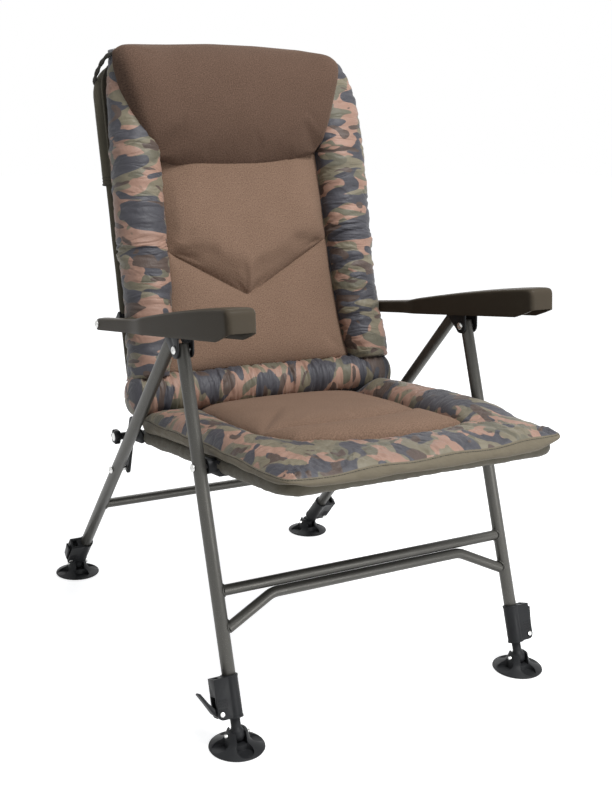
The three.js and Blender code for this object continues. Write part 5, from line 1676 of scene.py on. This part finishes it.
for polygon in seat_sleeve.data.polygons:
    turns = [v % sleeve_count for v in polygon.vertices]
    half_turn = sleeve_count // 2
    wrap = sleeve_count if max(turns) - min(turns) > half_turn else 0
    flat += [(v // (2 * sleeve_count) * 5, (turn + (wrap if turn < half_turn else 0)) * 2.9)
             for v, turn in zip(polygon.vertices, turns)]
cut_map(seat_sleeve, flat)
seat_sleeve.data.transform(seat_at)
settle(seat_sleeve, "seat", "olive_fabric", "seat_sling")

# %% Sheet of the sling
sheet_half, sheet_front, sheet_rear = 244, -219, 292
X, Y = np.meshgrid(np.linspace(-sheet_half, sheet_half, 60),
                   np.linspace(sheet_front, sheet_rear, 62))
sag = -9 * np.cos(X / sheet_half * math.pi / 2) * np.sqrt(np.clip(
    np.sin((Y - sheet_front) / (sheet_rear - sheet_front) * math.pi), 0, 1))
sling = np.stack([X, Y, 10.5 + sag + ripple(np.stack([X, Y], -1), 60, 1.2, 2.0)], -1)
seat_sheet = new_piece("seat_sheet", sling.reshape(-1, 3) * mm, ring_faces(62, 60, closed=False),
                       olive_nylon, None, 60)
cut_map(seat_sheet, [sling.reshape(-1, 3)[v][:2] for face in seat_sheet.data.polygons
                     for v in face.vertices])
thickened(seat_sheet, 1.4)
shade(flatten(seat_sheet), 60)
seat_sheet.data.transform(seat_at)
settle(seat_sheet, "seat", "olive_fabric")

# %% [markdown]
# Stitches. A node group walks along a line of mesh edges and lays a short, thick thread at every
# pitch. Its inputs are the pitch, the length and the thickness of a stitch, a seed that makes them
# slightly uneven, and the material. The lines are first dropped onto the cloth that they hold.

# %% Stitch nodes
def number_sockets(sockets):
    return [socket for socket in sockets if socket.type == "VALUE" and socket.enabled]


def stitch_group():
    tree = bpy.data.node_groups.new("stitches", "GeometryNodeTree")
    face, keys = tree.interface, {}
    for way, label, kind, value in (
            ("INPUT", "Geometry", "Geometry", None), ("INPUT", "Pitch", "Float", 0.0048),
            ("INPUT", "Length", "Float", 0.0034), ("INPUT", "Thickness", "Float", 0.0005),
            ("INPUT", "Seed", "Int", 1), ("INPUT", "Material", "Material", None),
            ("OUTPUT", "Geometry", "Geometry", None)):
        socket = face.new_socket(label, in_out=way, socket_type="NodeSocket" + kind)
        if value is not None:
            socket.default_value = value
        keys[label] = socket.identifier
    add = node_adder(tree)
    given = add("NodeGroupInput").outputs
    curve = add("GeometryNodeMeshToCurve", {"Mesh": given["Geometry"]})
    walk = add("GeometryNodeCurveToPoints", {"Curve": curve.outputs["Curve"],
                                             "Length": given["Pitch"]}, mode="LENGTH")
    thread = add("GeometryNodeMeshCylinder", {"Vertices": 6, "Radius": given["Thickness"],
                                              "Depth": given["Length"]})
    aim = add("FunctionNodeAlignEulerToVector", {"Vector": walk.outputs["Tangent"]}, axis="Z")
    uneven = add("FunctionNodeRandomValue", {"Seed": given["Seed"]}, data_type="FLOAT")
    for socket, value in zip(number_sockets(uneven.inputs), (0.85, 1.12)):
        socket.default_value = value
    lay = add("GeometryNodeInstanceOnPoints", {
        "Points": walk.outputs["Points"], "Instance": thread.outputs["Mesh"],
        "Rotation": aim.outputs["Rotation"], "Scale": number_sockets(uneven.outputs)[0]})
    real = add("GeometryNodeRealizeInstances", {"Geometry": lay.outputs["Instances"]})
    painted = add("GeometryNodeSetMaterial", {"Geometry": real.outputs["Geometry"],
                                              "Material": given["Material"]})
    add("NodeGroupOutput", {"Geometry": painted.outputs["Geometry"]})
    return tree, keys


stitch_tree, stitch_keys = stitch_group()


def stitches(name, lines, where, cloth_piece, body, seed, closed=False):
    """lines are lists of places (mm); each is dropped onto the nearest spot of cloth_piece."""
    cloth = cloth_piece.data
    tree = BVHTree.FromPolygons([v.co for v in cloth.vertices],
                                [tuple(p.vertices) for p in cloth.polygons])
    points, edges = [], []
    for line in lines:
        first = len(points)
        for place in line:
            spot, normal, _, _ = tree.find_nearest(where @ Vector([c * mm for c in place]))
            points.append(spot + normal * 0.0002)
        edges += [(i, i + 1) for i in range(first, len(points) - 1)]
        if closed:
            edges.append((len(points) - 1, first))
    mesh = bpy.data.meshes.new(name)
    mesh.from_pydata([tuple(p) for p in points], edges, [])
    piece = linked(name, mesh)
    sewing = piece.modifiers.new("stitches", "NODES")
    sewing.node_group = stitch_tree
    sewing[stitch_keys["Seed"]] = seed
    sewing[stitch_keys["Material"]] = thread_dark
    shade(flatten(piece), 60)
    settle(piece, body, "olive_fabric")
    print(name, len(piece.data.polygons), "faces")


# %% Stitches along the boxing, the hood and the sling
stitches("boxing_stitches", [seat_rings[0] * [1.004, 1.004, 1]], seat_at, seat_pad, "seat", 3,
         closed=True)
stitches("hood_stitches", [[(x, y - 2, height) for x, y in flat_oval(265, 16, 160)]
                           for height in (452, 458)], back_at, hood, "back", 5, closed=True)
stitches("sling_stitches", [[(x, y, 0) for y in np.linspace(-190, 280, 90)] for x in (-226, 226)]
         + [[(x, -204, 0) for x in np.linspace(-215, 215, 80)]], seat_at, seat_sheet, "seat", 7)

# %% Elastic straps that hold the pillow's upper corners
strap_routes = {
    "right": [(-236, -68, 672), (-245, -58, 673), (-252, -42, 668), (-257, -24, 657),
              (-260, -8, 644), (-256, 6, 634), (-242, 16, 628)],
    "left": [(226, -66, 668), (238, -56, 669), (248, -42, 665), (254, -24, 656), (258, -8, 644),
             (254, 6, 634), (240, 16, 628)]}
strap_count = 12
for side, knots in strap_routes.items():
    knots, fine = [Vector(p) for p in knots], []
    for before, a, b, after in zip([knots[0], *knots], knots, knots[1:], [*knots[2:], knots[-1]]):
        for t in np.linspace(0, 1, 6, endpoint=False):
            fine.append(0.5 * (2 * a + (b - before) * t
                               + (2 * before - 5 * a + 4 * b - after) * t * t
                               + (3 * a - before - 3 * b + after) * t ** 3))
    fine.append(knots[-1])
    points, faces = sweep(fine, 3.4, strap_count)
    heart = np.array([tuple(p) for p in fine])[:, None]
    twist = np.arange(len(fine))[:, None] * 0.55
    wave = 1 + 0.28 * np.cos(2 * (np.arange(strap_count) / strap_count * 2 * math.pi + twist))
    points = np.array([tuple(p) for p in points]).reshape(-1, strap_count, 3)
    points = heart + (points - heart) * wave[..., None]
    strap = new_piece(f"pillow_strap_{side}", *scaled((points.reshape(-1, 3), faces)), thread_dark,
                      back_at, 60)
    settle(strap, "back", "olive_fabric")
    squash(strap)
